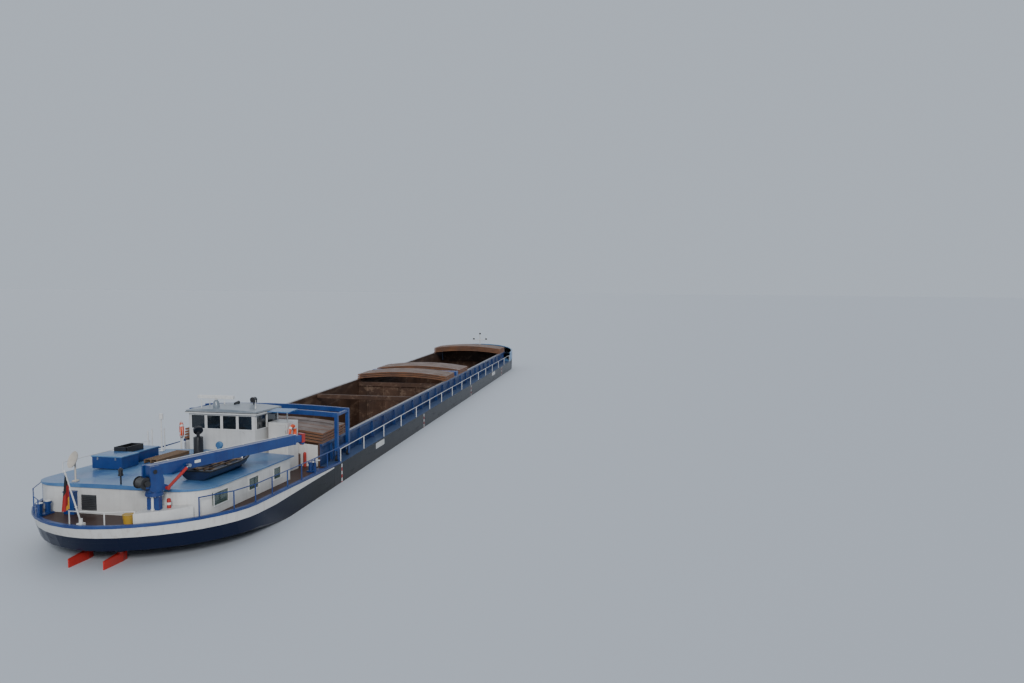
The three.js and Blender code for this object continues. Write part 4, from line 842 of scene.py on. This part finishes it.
class VESSEL_OT_windows(VesselOperator):
    """Frames, glass and curtains of the deckhouse and the wheelhouse."""

    bl_idname = "vessel.windows"
    bl_label = "Windows"

    overlap = 0.01
    house_openings = ((3.7, 4.7), (6.25, 7.05), (8.35, 9.0))
    house_height = (DEPTH + 0.3, DEPTH + 0.77)
    curtain_starts = (0.0, 0.66)
    curtain_share = 0.3
    bridge_height = (DEPTH + BRIDGE["sill"], DEPTH + BRIDGE["head"])
    bridge_bays = 4
    corner_post = 0.12
    mullion = 0.1
    starboard_openings = ((10.46, 11.4), (11.5, 12.44))
    port_opening = (10.46, 11.53)
    frame_depth = 0.015

    def make(self):
        self.house()
        self.bridge()

    def pane(self, frames, panes, place, x, z, depth=0.02):
        """A window in a wall: x and z are its opening, drawn in the wall's own plane."""
        outer, inner = ([(x[0] - out, z[0] - out), (x[1] + out, z[0] - out),
                         (x[1] + out, z[1] + out), (x[0] - out, z[1] + out)]
                        for out in (sizes().frame_width, -self.overlap))
        for i in range(4):
            j = (i + 1) % 4
            quad = [outer[i], outer[j], inner[j], inner[i]]
            frames.place(frames.extruded([(u, 0, v) for u, v in quad], (0, -depth, 0)), place)
        panes.place(panes.box(x, (0.02, 0.03), z), place)

    def house(self):
        frames, panes, cloth = Work(), Work(), Work()
        for side in (-1, 1):
            wall = Matrix.Translation((0, side * HOUSE_HALF, 0))
            if side > 0:
                wall = wall @ Matrix.Scale(-1, 4, (0, 1, 0))
            for x in self.house_openings:
                self.pane(frames, panes, wall, x, self.house_height)
                for share in self.curtain_starts:
                    start = x[0] + (x[1] - x[0]) * share
                    fold = (start, start + self.curtain_share * (x[1] - x[0]))
                    cloth.place(cloth.box(fold, (0.09, 0.1), self.house_height), wall)
        raise_to_deck(frames, panes, cloth)
        frames.finish("house_window_frames", "plastic white", bevel=0.005)
        panes.finish("house_window_glass", "house glass")
        cloth.finish("house_curtains", "curtain")

    def bridge(self):
        frames, panes = Work(), Work()
        half, height, depth = BRIDGE["half"], self.bridge_height, self.frame_depth
        mullions = (self.bridge_bays - 1) * self.mullion
        width = (2 * (half - self.corner_post) - mullions) / self.bridge_bays
        for i in range(self.bridge_bays):
            y = -half + self.corner_post + i * (width + self.mullion)
            for x, angle in ((BRIDGE["aft"], -90), (BRIDGE["fore"], 90)):
                turn = Matrix.Rotation(math.radians(angle), 4, "Z")
                place = Matrix.Translation((x, y + width / 2, 0)) @ turn
                self.pane(frames, panes, place, (-width / 2, width / 2), height, depth)
        starboard = Matrix.Translation((0, -half, 0))
        for x in self.starboard_openings:
            self.pane(frames, panes, starboard, x, height, depth)
        port = Matrix.Translation((0, half, 0)) @ Matrix.Scale(-1, 4, (0, 1, 0))
        self.pane(frames, panes, port, self.port_opening, height, depth)
        raise_to_deck(frames, panes)
        frames.finish("wheelhouse_window_frames", "plastic white", bevel=0.004)
        panes.finish("wheelhouse_window_glass", "glass")
        self.drip_line()
        self.console()

    def drip_line(self):
        """The white fascia under the roof's edge, with its dark gutter line."""
        fascia, dark = Work(), Work()
        half, top = BRIDGE["half"] + 0.1, DEPTH + BRIDGE["height"]
        x = (BRIDGE["aft"] - 0.1, BRIDGE["fore"] + 0.12)
        thin = 0.015
        for work, out, z in (
            (fascia, 0.0, (top - 0.1, top)),
            (dark, 0.012, (top - 0.035, top - 0.005)),
        ):
            for y in (-half, half):
                work.box((x[0] - out, x[1] + out), (y - thin - out, y + thin + out), z)
            for end in x:
                work.box((end - thin - out, end + thin + out), (-half, half), z)
        raise_to_deck(fascia, dark)
        fascia.finish("wheelhouse_fascia", "plastic white", bevel=0.006)
        dark.finish("wheelhouse_gutter", "grey")

    def console(self):
        """The console and the seat inside the wheelhouse."""
        work = Work()
        work.box((11.9, 12.4), (-1.2, 1.2), (DEPTH + 1.5, DEPTH + 1.95))
        work.box((11.1, 11.5), (-0.25, 0.25), (DEPTH + 1.2, DEPTH + 2.2))
        raise_to_deck(work)
        work.finish("wheelhouse_console", "interior", bevel=0.02)


class VESSEL_OT_lifebuoys(VesselOperator):
    """Two orange lifebuoys with white bands and grab lines, and the stand of the port one."""

    bl_idname = "vessel.lifebuoys"
    bl_label = "Lifebuoys"

    def make(self):
        ring, bands = Work(), Work()
        for centre, axis in (((10.9, 2.3, 4.75), (-0.6, 0.8, 0)), ((11.6, -2.69, 4.7), (0, 1, 0))):
            self.buoy(ring, bands, Vector(centre), Vector(axis).normalized())
        post = Work()
        for x, y in ((10.82, 2.26), (10.98, 2.4)):
            post.rod((x, y, deck(11)), (x, y, 5.1), 0.025, 8)
        post.pipe([(10.82, 2.26, 5.08), (10.98, 2.4, 5.08)], 0.02)
        post.finish("lifebuoy_post", "plastic white")
        ring.finish("lifebuoys", "orange")
        bands.finish("lifebuoy_bands", "plastic white")

    def buoy(self, ring, bands, centre, axis):
        radius = sizes().lifebuoy_radius
        ring.ring(centre, axis, radius, 0.075, 32, 12)
        side = axis.cross(Vector((0, 0, 1))).normalized()
        for quarter in range(4):
            angle = math.radians(45 + 90 * quarter)
            out = side * math.cos(angle) + Vector((0, 0, 1)) * math.sin(angle)
            along = axis.cross(out)
            middle = centre + out * radius
            bands.rod(middle - along * 0.05, middle + along * 0.05, 0.079, 14)
        points = [centre + (side * math.cos(math.radians(a)) + Vector((0, 0, 1)) * math.sin(math.radians(a)))
                  * (radius + (0.095 if a % 90 == 45 else 0.115)) for a in range(0, 360, 15)]
        bands.pipe(points, 0.008, 6, closed=True)


class VESSEL_OT_roof_gear(VesselOperator):
    """Lockers, the wooden gangplank, skylights, a rail and the stern light on the deckhouse roof."""

    bl_idname = "vessel.roof_gear"
    bl_label = "Roof gear"

    half = 3.41
    crown = 0.1
    # Aft end, fore end, starboard side, port side and height of each locker
    locker_places = ((5.3, 6.35, 1.35, 2.6, 0.5), (6.3, 8.3, 1.75, 2.6, 0.42))
    lid = 0.05
    lip = 0.03
    plank = (6.7, 9.0)
    bearers, bearer_pitch = 3, 0.27
    boards, board_pitch = 14, 0.165

    def roof(self, x, y):
        """Height of the crowned roof."""
        return deck(x) + HOUSE_HEIGHT + self.crown * (1 - (y / self.half) ** 2)

    def make(self):
        lockers, lids, wood, tray, trim = Work(), Work(), Work(), Work(), Work()
        foot = ROOF_LEVEL + ROOF_CROWN
        lip = self.lip
        for aft, fore, low, high, height in self.locker_places:
            top = foot + height
            lockers.box((aft, fore), (low, high), (foot, top - self.lid))
            lids.box((aft - lip, fore + lip), (low - lip, high + lip), (top - self.lid, top))
            for y in (low + 0.25, high - 0.25):
                trim.box((aft - 0.02, aft), (y - 0.03, y + 0.03), (top - 0.16, top - 0.06))
        for i in range(self.bearers):
            y = 0.78 + i * self.bearer_pitch
            wood.box(self.plank, (y, y + 0.05), (foot, foot + 0.14))
        for i in range(self.boards):
            x = 6.75 + i * self.board_pitch
            wood.box((x, x + 0.09), (0.75, 1.36), (foot + 0.13, foot + 0.155))
        bed = foot + 0.38
        for x, y in (((6.4, 7.5), (1.9, 1.93)), ((6.4, 7.5), (2.42, 2.45)), ((6.4, 6.43), (1.9, 2.45)),
                     ((7.47, 7.5), (1.9, 2.45)), ((6.4, 7.5), (1.9, 2.45))):
            wall = x[1] - x[0] < 0.1 or y[1] - y[0] < 0.1
            tray.box(x, y, (bed, bed + (0.28 if wall else 0.05)))
        raise_to_deck(lockers, lids, wood, tray, trim)
        lockers.finish("roof_locker_boxes", "royal", bevel=0.015, replaces=("roof_lockers",))
        lids.finish("roof_locker_lids", "roof", bevel=0.015)
        wood.finish("gangplank_boards", "wood", bevel=0.008)
        tray.finish("roof_tray", "black", bevel=0.006)
        trim.finish("locker_hasps", "steel", bevel=0.004)
        self.skylight()
        self.rail()
        self.lantern()

    def skylight(self):
        """Two low glazed hatches in the roof."""
        curb, pane = Work(), Work()
        for x, y in (((4.9, 6.0), (-1.0, 0.0)), ((7.3, 8.2), (-1.15, -0.35))):
            foot = self.roof((x[0] + x[1]) / 2, y[0]) - 0.03
            curb.box(x, y, (foot, foot + 0.16))
            inside = [(low + 0.08, high - 0.08) for low, high in (x, y)]
            pane.box(*inside, (foot + 0.15, foot + 0.17))
        curb.finish("skylight_curbs", "royal", bevel=0.012)
        pane.finish("skylight_panes", "house glass", bevel=0.004)

    def rail(self):
        """A low rail along the roof's port edge, and three posts by the wheelhouse."""
        rail = Work()
        points = [(x, 3.3, self.roof(x, 3.3) + 0.42) for x in (4.6, 6.4, 8.2, 10.0)]
        rail.pipe(points, 0.014, 6)
        for x, y, z in points:
            rail.rod((x, y, z - 0.44), (x, y, z), 0.018, 8)
        for x, y in ((9.3, 2.9), (9.9, 3.1), (10.05, 2.6)):
            rail.rod((x, y, self.roof(x, y) - 0.02), (x, y, self.roof(x, y) + 0.95), 0.028, 8)
        rail.finish("roof_rail", "plastic white")

    def lantern(self):
        """The stern light on the roof's aft edge."""
        body, lens = Work(), Work()
        x, y = 2.95, -0.28
        foot = self.roof(x, y)
        body.rod((x, y, foot - 0.02), (x, y, foot + 0.32), 0.03, 10)
        body.rod((x, y, foot + 0.3), (x, y, foot + 0.36), 0.09, 16)
        lens.rod((x, y, foot + 0.36), (x, y, foot + 0.5), 0.075, 16)
        body.rod((x, y, foot + 0.5), (x, y, foot + 0.58), 0.095, 16, 0.03)
        body.finish("stern_lantern", "black", bevel=0.006)
        lens.finish("stern_lantern_lens", "black")


class VESSEL_OT_tender(VesselOperator):
    """Thwarts, oars and a black gunwale for the navy tender on the roof."""

    bl_idname = "vessel.tender"
    bl_label = "Tender"

    middle = -2.3
    half = 0.6
    transom = 4.3
    shoulder = 6.1
    bow_length = 1.87
    # Aft edge and half length of each thwart
    thwarts = ((5.0, 0.53), (6.1, 0.53), (7.1, 0.4))

    def make(self):
        rim, seats = Work(), Work()
        middle = self.middle
        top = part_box("tender")[1][2] / SCALE - (deck(self.transom) - DEPTH)
        edge = [(self.transom, self.half), (self.shoulder, self.half)]
        for angle in range(15, 91, 15):
            turn = math.radians(angle)
            edge.append((self.shoulder + self.bow_length * math.sin(turn), self.half * math.cos(turn)))
        outline = [(x, middle + y) for x, y in edge] + [(x, middle - y) for x, y in edge[::-1]]
        rim.pipe([(x, y, top - 0.015) for x, y in outline], 0.03, 8, closed=True)
        for x, reach in self.thwarts:
            seats.box((x, x + 0.24), (middle - reach, middle + reach), (top - 0.1, top - 0.06))
        for y in (-2.45, -2.2):
            seats.rod((4.6, y, top - 0.04), (7.0, y, top - 0.04), 0.025, 10)
        raise_to_deck(rim, seats)
        rim.finish("tender_gunwale", "rubber")
        seats.finish("tender_thwarts", "wood", bevel=0.01)


class VESSEL_OT_crane_gear(VesselOperator):
    """The crane's white pipe, slew bolts and winch, and the boom's hose, collars and red cap."""

    bl_idname = "vessel.crane_gear"
    bl_label = "Crane gear"

    bolt_count = 12
    bolt_circle = 0.27
    winch_x, winch_z = -0.42, 4.78
    turns = 9
    hose_y, hose_z = 0.12, 5.345

    def make(self):
        self.column()
        self.head()
        self.boom()

    def column(self):
        """The white upright pipe at the column, and the bolts of the slew ring."""
        pipe = Work()
        pipe.rod((-0.115, 0.0, 3.8), (-0.115, 0.0, 4.26), 0.045, 14)
        pipe.rod((-0.115, 0.0, 3.785), (-0.115, 0.0, 3.83), 0.065, 14)
        pipe.finish("crane_white_pipe", "plastic white", turn=Matrix.Translation(CRANE))
        bolts = Work()
        for i in range(self.bolt_count):
            angle = 2 * math.pi * i / self.bolt_count
            x, y = self.bolt_circle * math.cos(angle), self.bolt_circle * math.sin(angle)
            bolts.rod((x, y, 4.26), (x, y, 4.285), 0.018, 6)
        bolts.finish("slew_ring_bolts", "steel", turn=TO_CRANE)

    def head(self):
        """The winch with its rope, and a round boss on each side of the head."""
        drum, rope = Work(), Work()
        x, z = self.winch_x, self.winch_z
        for i in range(self.turns):
            y = -0.16 + i * 0.04
            rope.ring((x, y, z), (0, 1, 0), 0.162, 0.019, 20, 6)
        for y in (-0.205, 0.205):
            drum.rod((x, y - 0.012, z), (x, y + 0.012, z), 0.21, 24)
        drum.rod((x, -0.3, z), (x, -0.21, z), 0.1, 14)
        for y in (-0.2, 0.2):
            drum.rod((-0.12, y * 1.36, 5.13), (-0.12, y * 1.3, 5.13), 0.075, 14)
        drum.finish("crane_winch_drum", "black", "crane_head", turn=TO_CRANE, bevel=0.006)
        rope.finish("crane_winch_rope", "wire", "crane_head", turn=TO_CRANE)

    def boom(self):
        cap = Work()
        cap.box((6.6, 6.752), (-0.142, 0.142), (4.957, 5.323))
        cap.box((6.62, 6.78), (-0.05, 0.05), (4.85, 4.96))
        cap.finish("boom_tip_cap", "red", "boom_extension", turn=TO_CRANE, bevel=0.012)
        trim, bands = Work(), Work()
        trim.pipe([(x, self.hose_y, self.hose_z) for x in (0.1, 3.2, 6.1)], 0.012, 6)
        for x in (0.6, 2.2, 3.8, 5.4):
            trim.box((x, x + 0.05), (0.09, 0.15), (5.325, 5.365))
        trim.box((1.5, 1.75), (-0.152, -0.149), (5.1, 5.2))
        trim.finish("boom_hose", "plastic white", "crane_boom", turn=TO_CRANE)
        for x in (2.4, 6.16):
            bands.box((x, x + 0.08), (-0.16, 0.16), (4.94, 5.34))
        bands.finish("boom_collars", "royal", "crane_boom", turn=TO_CRANE, bevel=0.008)


class VESSEL_OT_deck_gear(VesselOperator):
    """Small things on the aft deck, by the wheelhouse, on the end coaming and on the foredeck."""

    bl_idname = "vessel.deck_gear"
    bl_label = "Deck gear"

    def make(self):
        self.louvre()
        self.bin()
        self.canister()
        self.bollard_caps()
        self.stores()
        self.end_coaming()
        self.foredeck()

    def louvre(self):
        """The ventilation grille in the deckhouse's aft wall, and the blue box beside it."""
        work = Work()
        x, y, foot = HOUSE_AFT, (0.62, 1.22), deck(HOUSE_AFT)
        work.box((x + 0.02, x + 0.06), y, (foot + 0.12, foot + 0.68))
        for i in range(8):
            z = foot + 0.15 + i * 0.065
            turn = Matrix.Rotation(math.radians(35), 4, "Y")
            work.box((x - 0.03, x + 0.03), (y[0] + 0.02, y[1] - 0.02), (z, z + 0.012), turn)
        work.finish("aft_louvre", "grey", bevel=0.004)
        box = Work()
        box.box((x - 0.22, x), (1.35, 1.75), (foot, foot + 0.8))
        box.box((x - 0.24, x), (1.33, 1.77), (foot + 0.78, foot + 0.82))
        box.finish("aft_wall_locker", "royal", bevel=0.012)

    def bin(self):
        work = Work()
        x, y = 2.02, -1.2
        foot = deck(x)
        work.rod((x, y, foot), (x, y, foot + 0.3), 0.17, 20, 0.2)
        work.ring((x, y, foot + 0.3), (0, 0, 1), 0.2, 0.015, 24, 8)
        work.finish("deck_tub", "yellow", bevel=0.01)

    def canister(self):
        work, band = Work(), Work()
        x, y, top = 2.55, -2.35, 3.78
        work.rod((x, y, top), (x, y, top + 0.3), 0.07, 16)
        work.ball((x, y, top + 0.3), 0.07, (1, 1, 0.6))
        band.rod((x, y, top + 0.12), (x, y, top + 0.2), 0.073, 16)
        work.finish("deck_canister", "red", bevel=0.004)
        band.finish("deck_canister_band", "plastic white")

    def bollard_caps(self):
        caps = Work()
        for x, y in ((2.4, 2.33), (11.9, -3.68), (11.9, 3.68)):
            for at in (x - 0.2, x + 0.2):
                z = deck(at) + 0.45
                caps.rod((at, y, z), (at, y, z + 0.02), 0.11, 16)
        caps.finish("bollard_caps", "plastic white", bevel=0.006)

    def stores(self):
        drums, bottle = Work(), Work()
        for x, y in ((12.66, -1.95), (12.66, -2.38), (12.66, 2.9)):
            foot = deck(x)
            drums.rod((x, y, foot), (x, y, foot + 0.6), 0.19, 20)
            for z in (0.2, 0.4, 0.59):
                drums.ring((x, y, foot + z), (0, 0, 1), 0.19, 0.012, 24, 6)
        drums.finish("deck_drums", "deck brown", bevel=0.01)
        x, y, z = 12.78, -2.75, deck(12.8)
        bottle.rod((x, y, z), (x, y, z + 0.62), 0.075, 16)
        bottle.ball((x, y, z + 0.62), 0.075)
        bottle.pipe([(x, y, z + 0.68), (x - 0.08, y, z + 0.7), (x - 0.1, y, z + 0.42)], 0.012)
        bottle.finish("fire_extinguisher", "red")

    def end_coaming(self):
        """Stiffeners on the white end coaming."""
        ribs = Work()
        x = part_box("coaming_aft")[0][0] / SCALE + MIDDLE
        for i in range(7):
            y = -2.7 + i * 0.9
            ribs.box((x - 0.03, x + 0.01), (y - 0.02, y + 0.02), (DEPTH + 0.02, COAMING_TOP - 0.1))
        ribs.finish("end_coaming_ribs", "white", bevel=0.004)

    def foredeck(self):
        """Dark lenses on the bow mast, and a hand wheel on the windlass."""
        lamps, wheel = Work(), Work()
        mast = 66.5
        hinge = deck(mast) + 0.8
        for y, z in ((-0.7, 0.85), (0.7, 0.85), (0.0, 1.44)):
            lamps.rod((mast, y, hinge + z - 0.08), (mast, y, hinge + z + 0.08), 0.097, 16)
        lamps.finish("mast_lenses", "black", "bow_mast", bevel=0.004)
        x, y, z = 64.75, -1.12, deck(64.75) + 0.42
        wheel.ring((x, y, z), (0, 1, 0), 0.2, 0.018, 28, 8)
        for a in range(0, 180, 60):
            reach = Vector((math.cos(math.radians(a)), 0, math.sin(math.radians(a)))) * 0.2
            wheel.rod(Vector((x, y, z)) - reach, Vector((x, y, z)) + reach, 0.012, 8)
        wheel.finish("windlass_hand_wheel", "yellow")


class VESSEL_OT_bridge_gear(VesselOperator):
    """What stands on the wheelhouse roof: search light, horn and aerials."""

    bl_idname = "vessel.bridge_gear"
    bl_label = "Wheelhouse roof gear"

    def make(self):
        white, dark, lens = Work(), Work(), Work()
        top = DEPTH + BRIDGE["height"] + 0.12
        white.rod((10.75, 1.2, top - 0.02), (10.75, 1.2, top + 0.35), 0.022, 8)
        for x, y, height in ((11.6, 1.3, 0.46), (12.2, 0.9, 0.4), (11.1, -1.2, 0.36)):
            white.rod((x, y, top - 0.03), (x, y, top + 0.1), 0.03, 10)
            white.rod((x, y, top + 0.1), (x, y, top + height), 0.01, 6)
        dark.rod((12.3, -0.5, top - 0.03), (12.3, -0.5, top + 0.16), 0.03, 10)
        dark.rod((12.15, -0.5, top + 0.24), (12.42, -0.5, top + 0.24), 0.12, 18)
        dark.box((12.24, 12.36), (-0.64, -0.36), (top + 0.1, top + 0.16))
        lens.rod((12.42, -0.5, top + 0.24), (12.435, -0.5, top + 0.24), 0.1, 18)
        dark.rod((12.0, 0.3, top + 0.08), (12.4, 0.3, top + 0.08), 0.03, 12, 0.08)
        dark.box((12.0, 12.12), (0.26, 0.34), (top - 0.03, top + 0.06))
        raise_to_deck(white, dark, lens)
        white.finish("wheelhouse_aerials", "plastic white")
        dark.finish("search_light_and_horn", "black", bevel=0.006)
        lens.finish("search_light_lens", "lamp glass")


class VESSEL_OT_flag(VesselOperator):
    """The white staff that leans aft, with its limp flag."""

    bl_idname = "vessel.flag"
    bl_label = "Flag"

    hoist = 0.6
    fly = 1.0
    columns, rows = 40, 30
    folds = 6
    staff_x, staff_y = 1.3, 0.05
    tip_x, tip_height = 0.62, 2.05

    def make(self):
        foot = deck(self.staff_x)
        base = Vector((self.staff_x, self.staff_y, foot + 0.15))
        top = Vector((self.tip_x, self.staff_y, foot + self.tip_height))
        staff = Work()
        staff.rod(base, top, 0.026, 16)
        staff.ball(top - (top - base).normalized() * 0.035, 0.035)
        staff.rod(base - Vector((0, 0, 0.06)), base + Vector((0, 0, 0.12)), 0.06, 14)
        staff.box((1.2, 1.4), (-0.05, 0.15), (foot + 0.005, foot + 0.12))
        for share in (0.3, 0.93):
            staff.ring(base.lerp(top, share), top - base, 0.034, 0.008, 16, 6)
        staff.finish("flagstaff_pole", "plastic white", bevel=0.004, replaces=("flagstaff",))
        self.cloth(foot)

    def cloth(self, foot):
        """Cloth held along the staff's upper part, which falls from there in upright folds."""
        mesh = bmesh.new()
        bmesh.ops.create_grid(
            mesh, x_segments=self.columns, y_segments=self.rows, size=0.5, calc_uvs=True)
        layer = mesh.loops.layers.uv.verify()
        for face in mesh.faces:
            for loop in face.loops:
                loop[layer].uv = (loop.vert.co.x + 0.5, loop.vert.co.y + 0.5)
        low = foot + self.tip_height - 1.33
        for vert in mesh.verts:
            out, held = vert.co.x + 0.5, vert.co.y + 0.5
            fall = 1 - held
            grip = Vector((0.635 + 0.172 * fall, self.staff_y, foot + 1.93 - 0.48 * fall))
            hang = Vector((0.5 + 0.26 * fall, self.staff_y, low + 0.04 * fall))
            point = grip.lerp(hang, out)
            fold = math.sin(fall * math.pi * self.folds + out * 1.2) * (0.008 + 0.05 * out)
            vert.co = point + Vector((0, fold, 0))
        bmesh.ops.transform(mesh, matrix=TO_MODEL, verts=mesh.verts)
        piece = settle(mesh, "flag_cloth_piece", "flag", "root", 0, CLOTH_SHARP, ("flag",))
        solid = piece.modifiers.new("cloth thickness", "SOLIDIFY")
        solid.thickness = 0.0016
        solid.offset = 0


PIECES = [
    VESSEL_OT_stage, VESSEL_OT_shell, VESSEL_OT_hull_marks, VESSEL_OT_hatch_covers, VESSEL_OT_windows,
    VESSEL_OT_lifebuoys, VESSEL_OT_roof_gear, VESSEL_OT_tender, VESSEL_OT_crane_gear, VESSEL_OT_deck_gear,
    VESSEL_OT_bridge_gear, VESSEL_OT_flag,
]


class VESSEL_PT_panel(bpy.types.Panel):
    """Lists the vessel's pieces."""

    bl_idname = "VESSEL_PT_panel"
    bl_label = "Inland vessel"
    bl_space_type = "VIEW_3D"
    bl_region_type = "UI"
    bl_category = "Vessel"

    def draw(self, context):
        for group in (context.scene.vessel_sizes, context.scene.vessel_stage):
            for name in group.__annotations__:
                self.layout.prop(group, name)
        for piece in PIECES:
            self.layout.operator(piece.bl_idname)


CLASSES = [VESSEL_PG_sizes, VESSEL_PG_stage, *PIECES, VESSEL_PT_panel]


def register():
    for item in CLASSES:
        bpy.utils.register_class(item)
    bpy.types.Scene.vessel_sizes = bpy.props.PointerProperty(type=VESSEL_PG_sizes)
    bpy.types.Scene.vessel_stage = bpy.props.PointerProperty(type=VESSEL_PG_stage)


def unregister():
    del bpy.types.Scene.vessel_stage
    del bpy.types.Scene.vessel_sizes
    for item in reversed(CLASSES):
        bpy.utils.unregister_class(item)


def main():
    register()
    mix_paints()
    for piece in PIECES:
        group, name = piece.bl_idname.split(".")
        getattr(getattr(bpy.ops, group), name)()


if __name__ == "__main__":
    main()
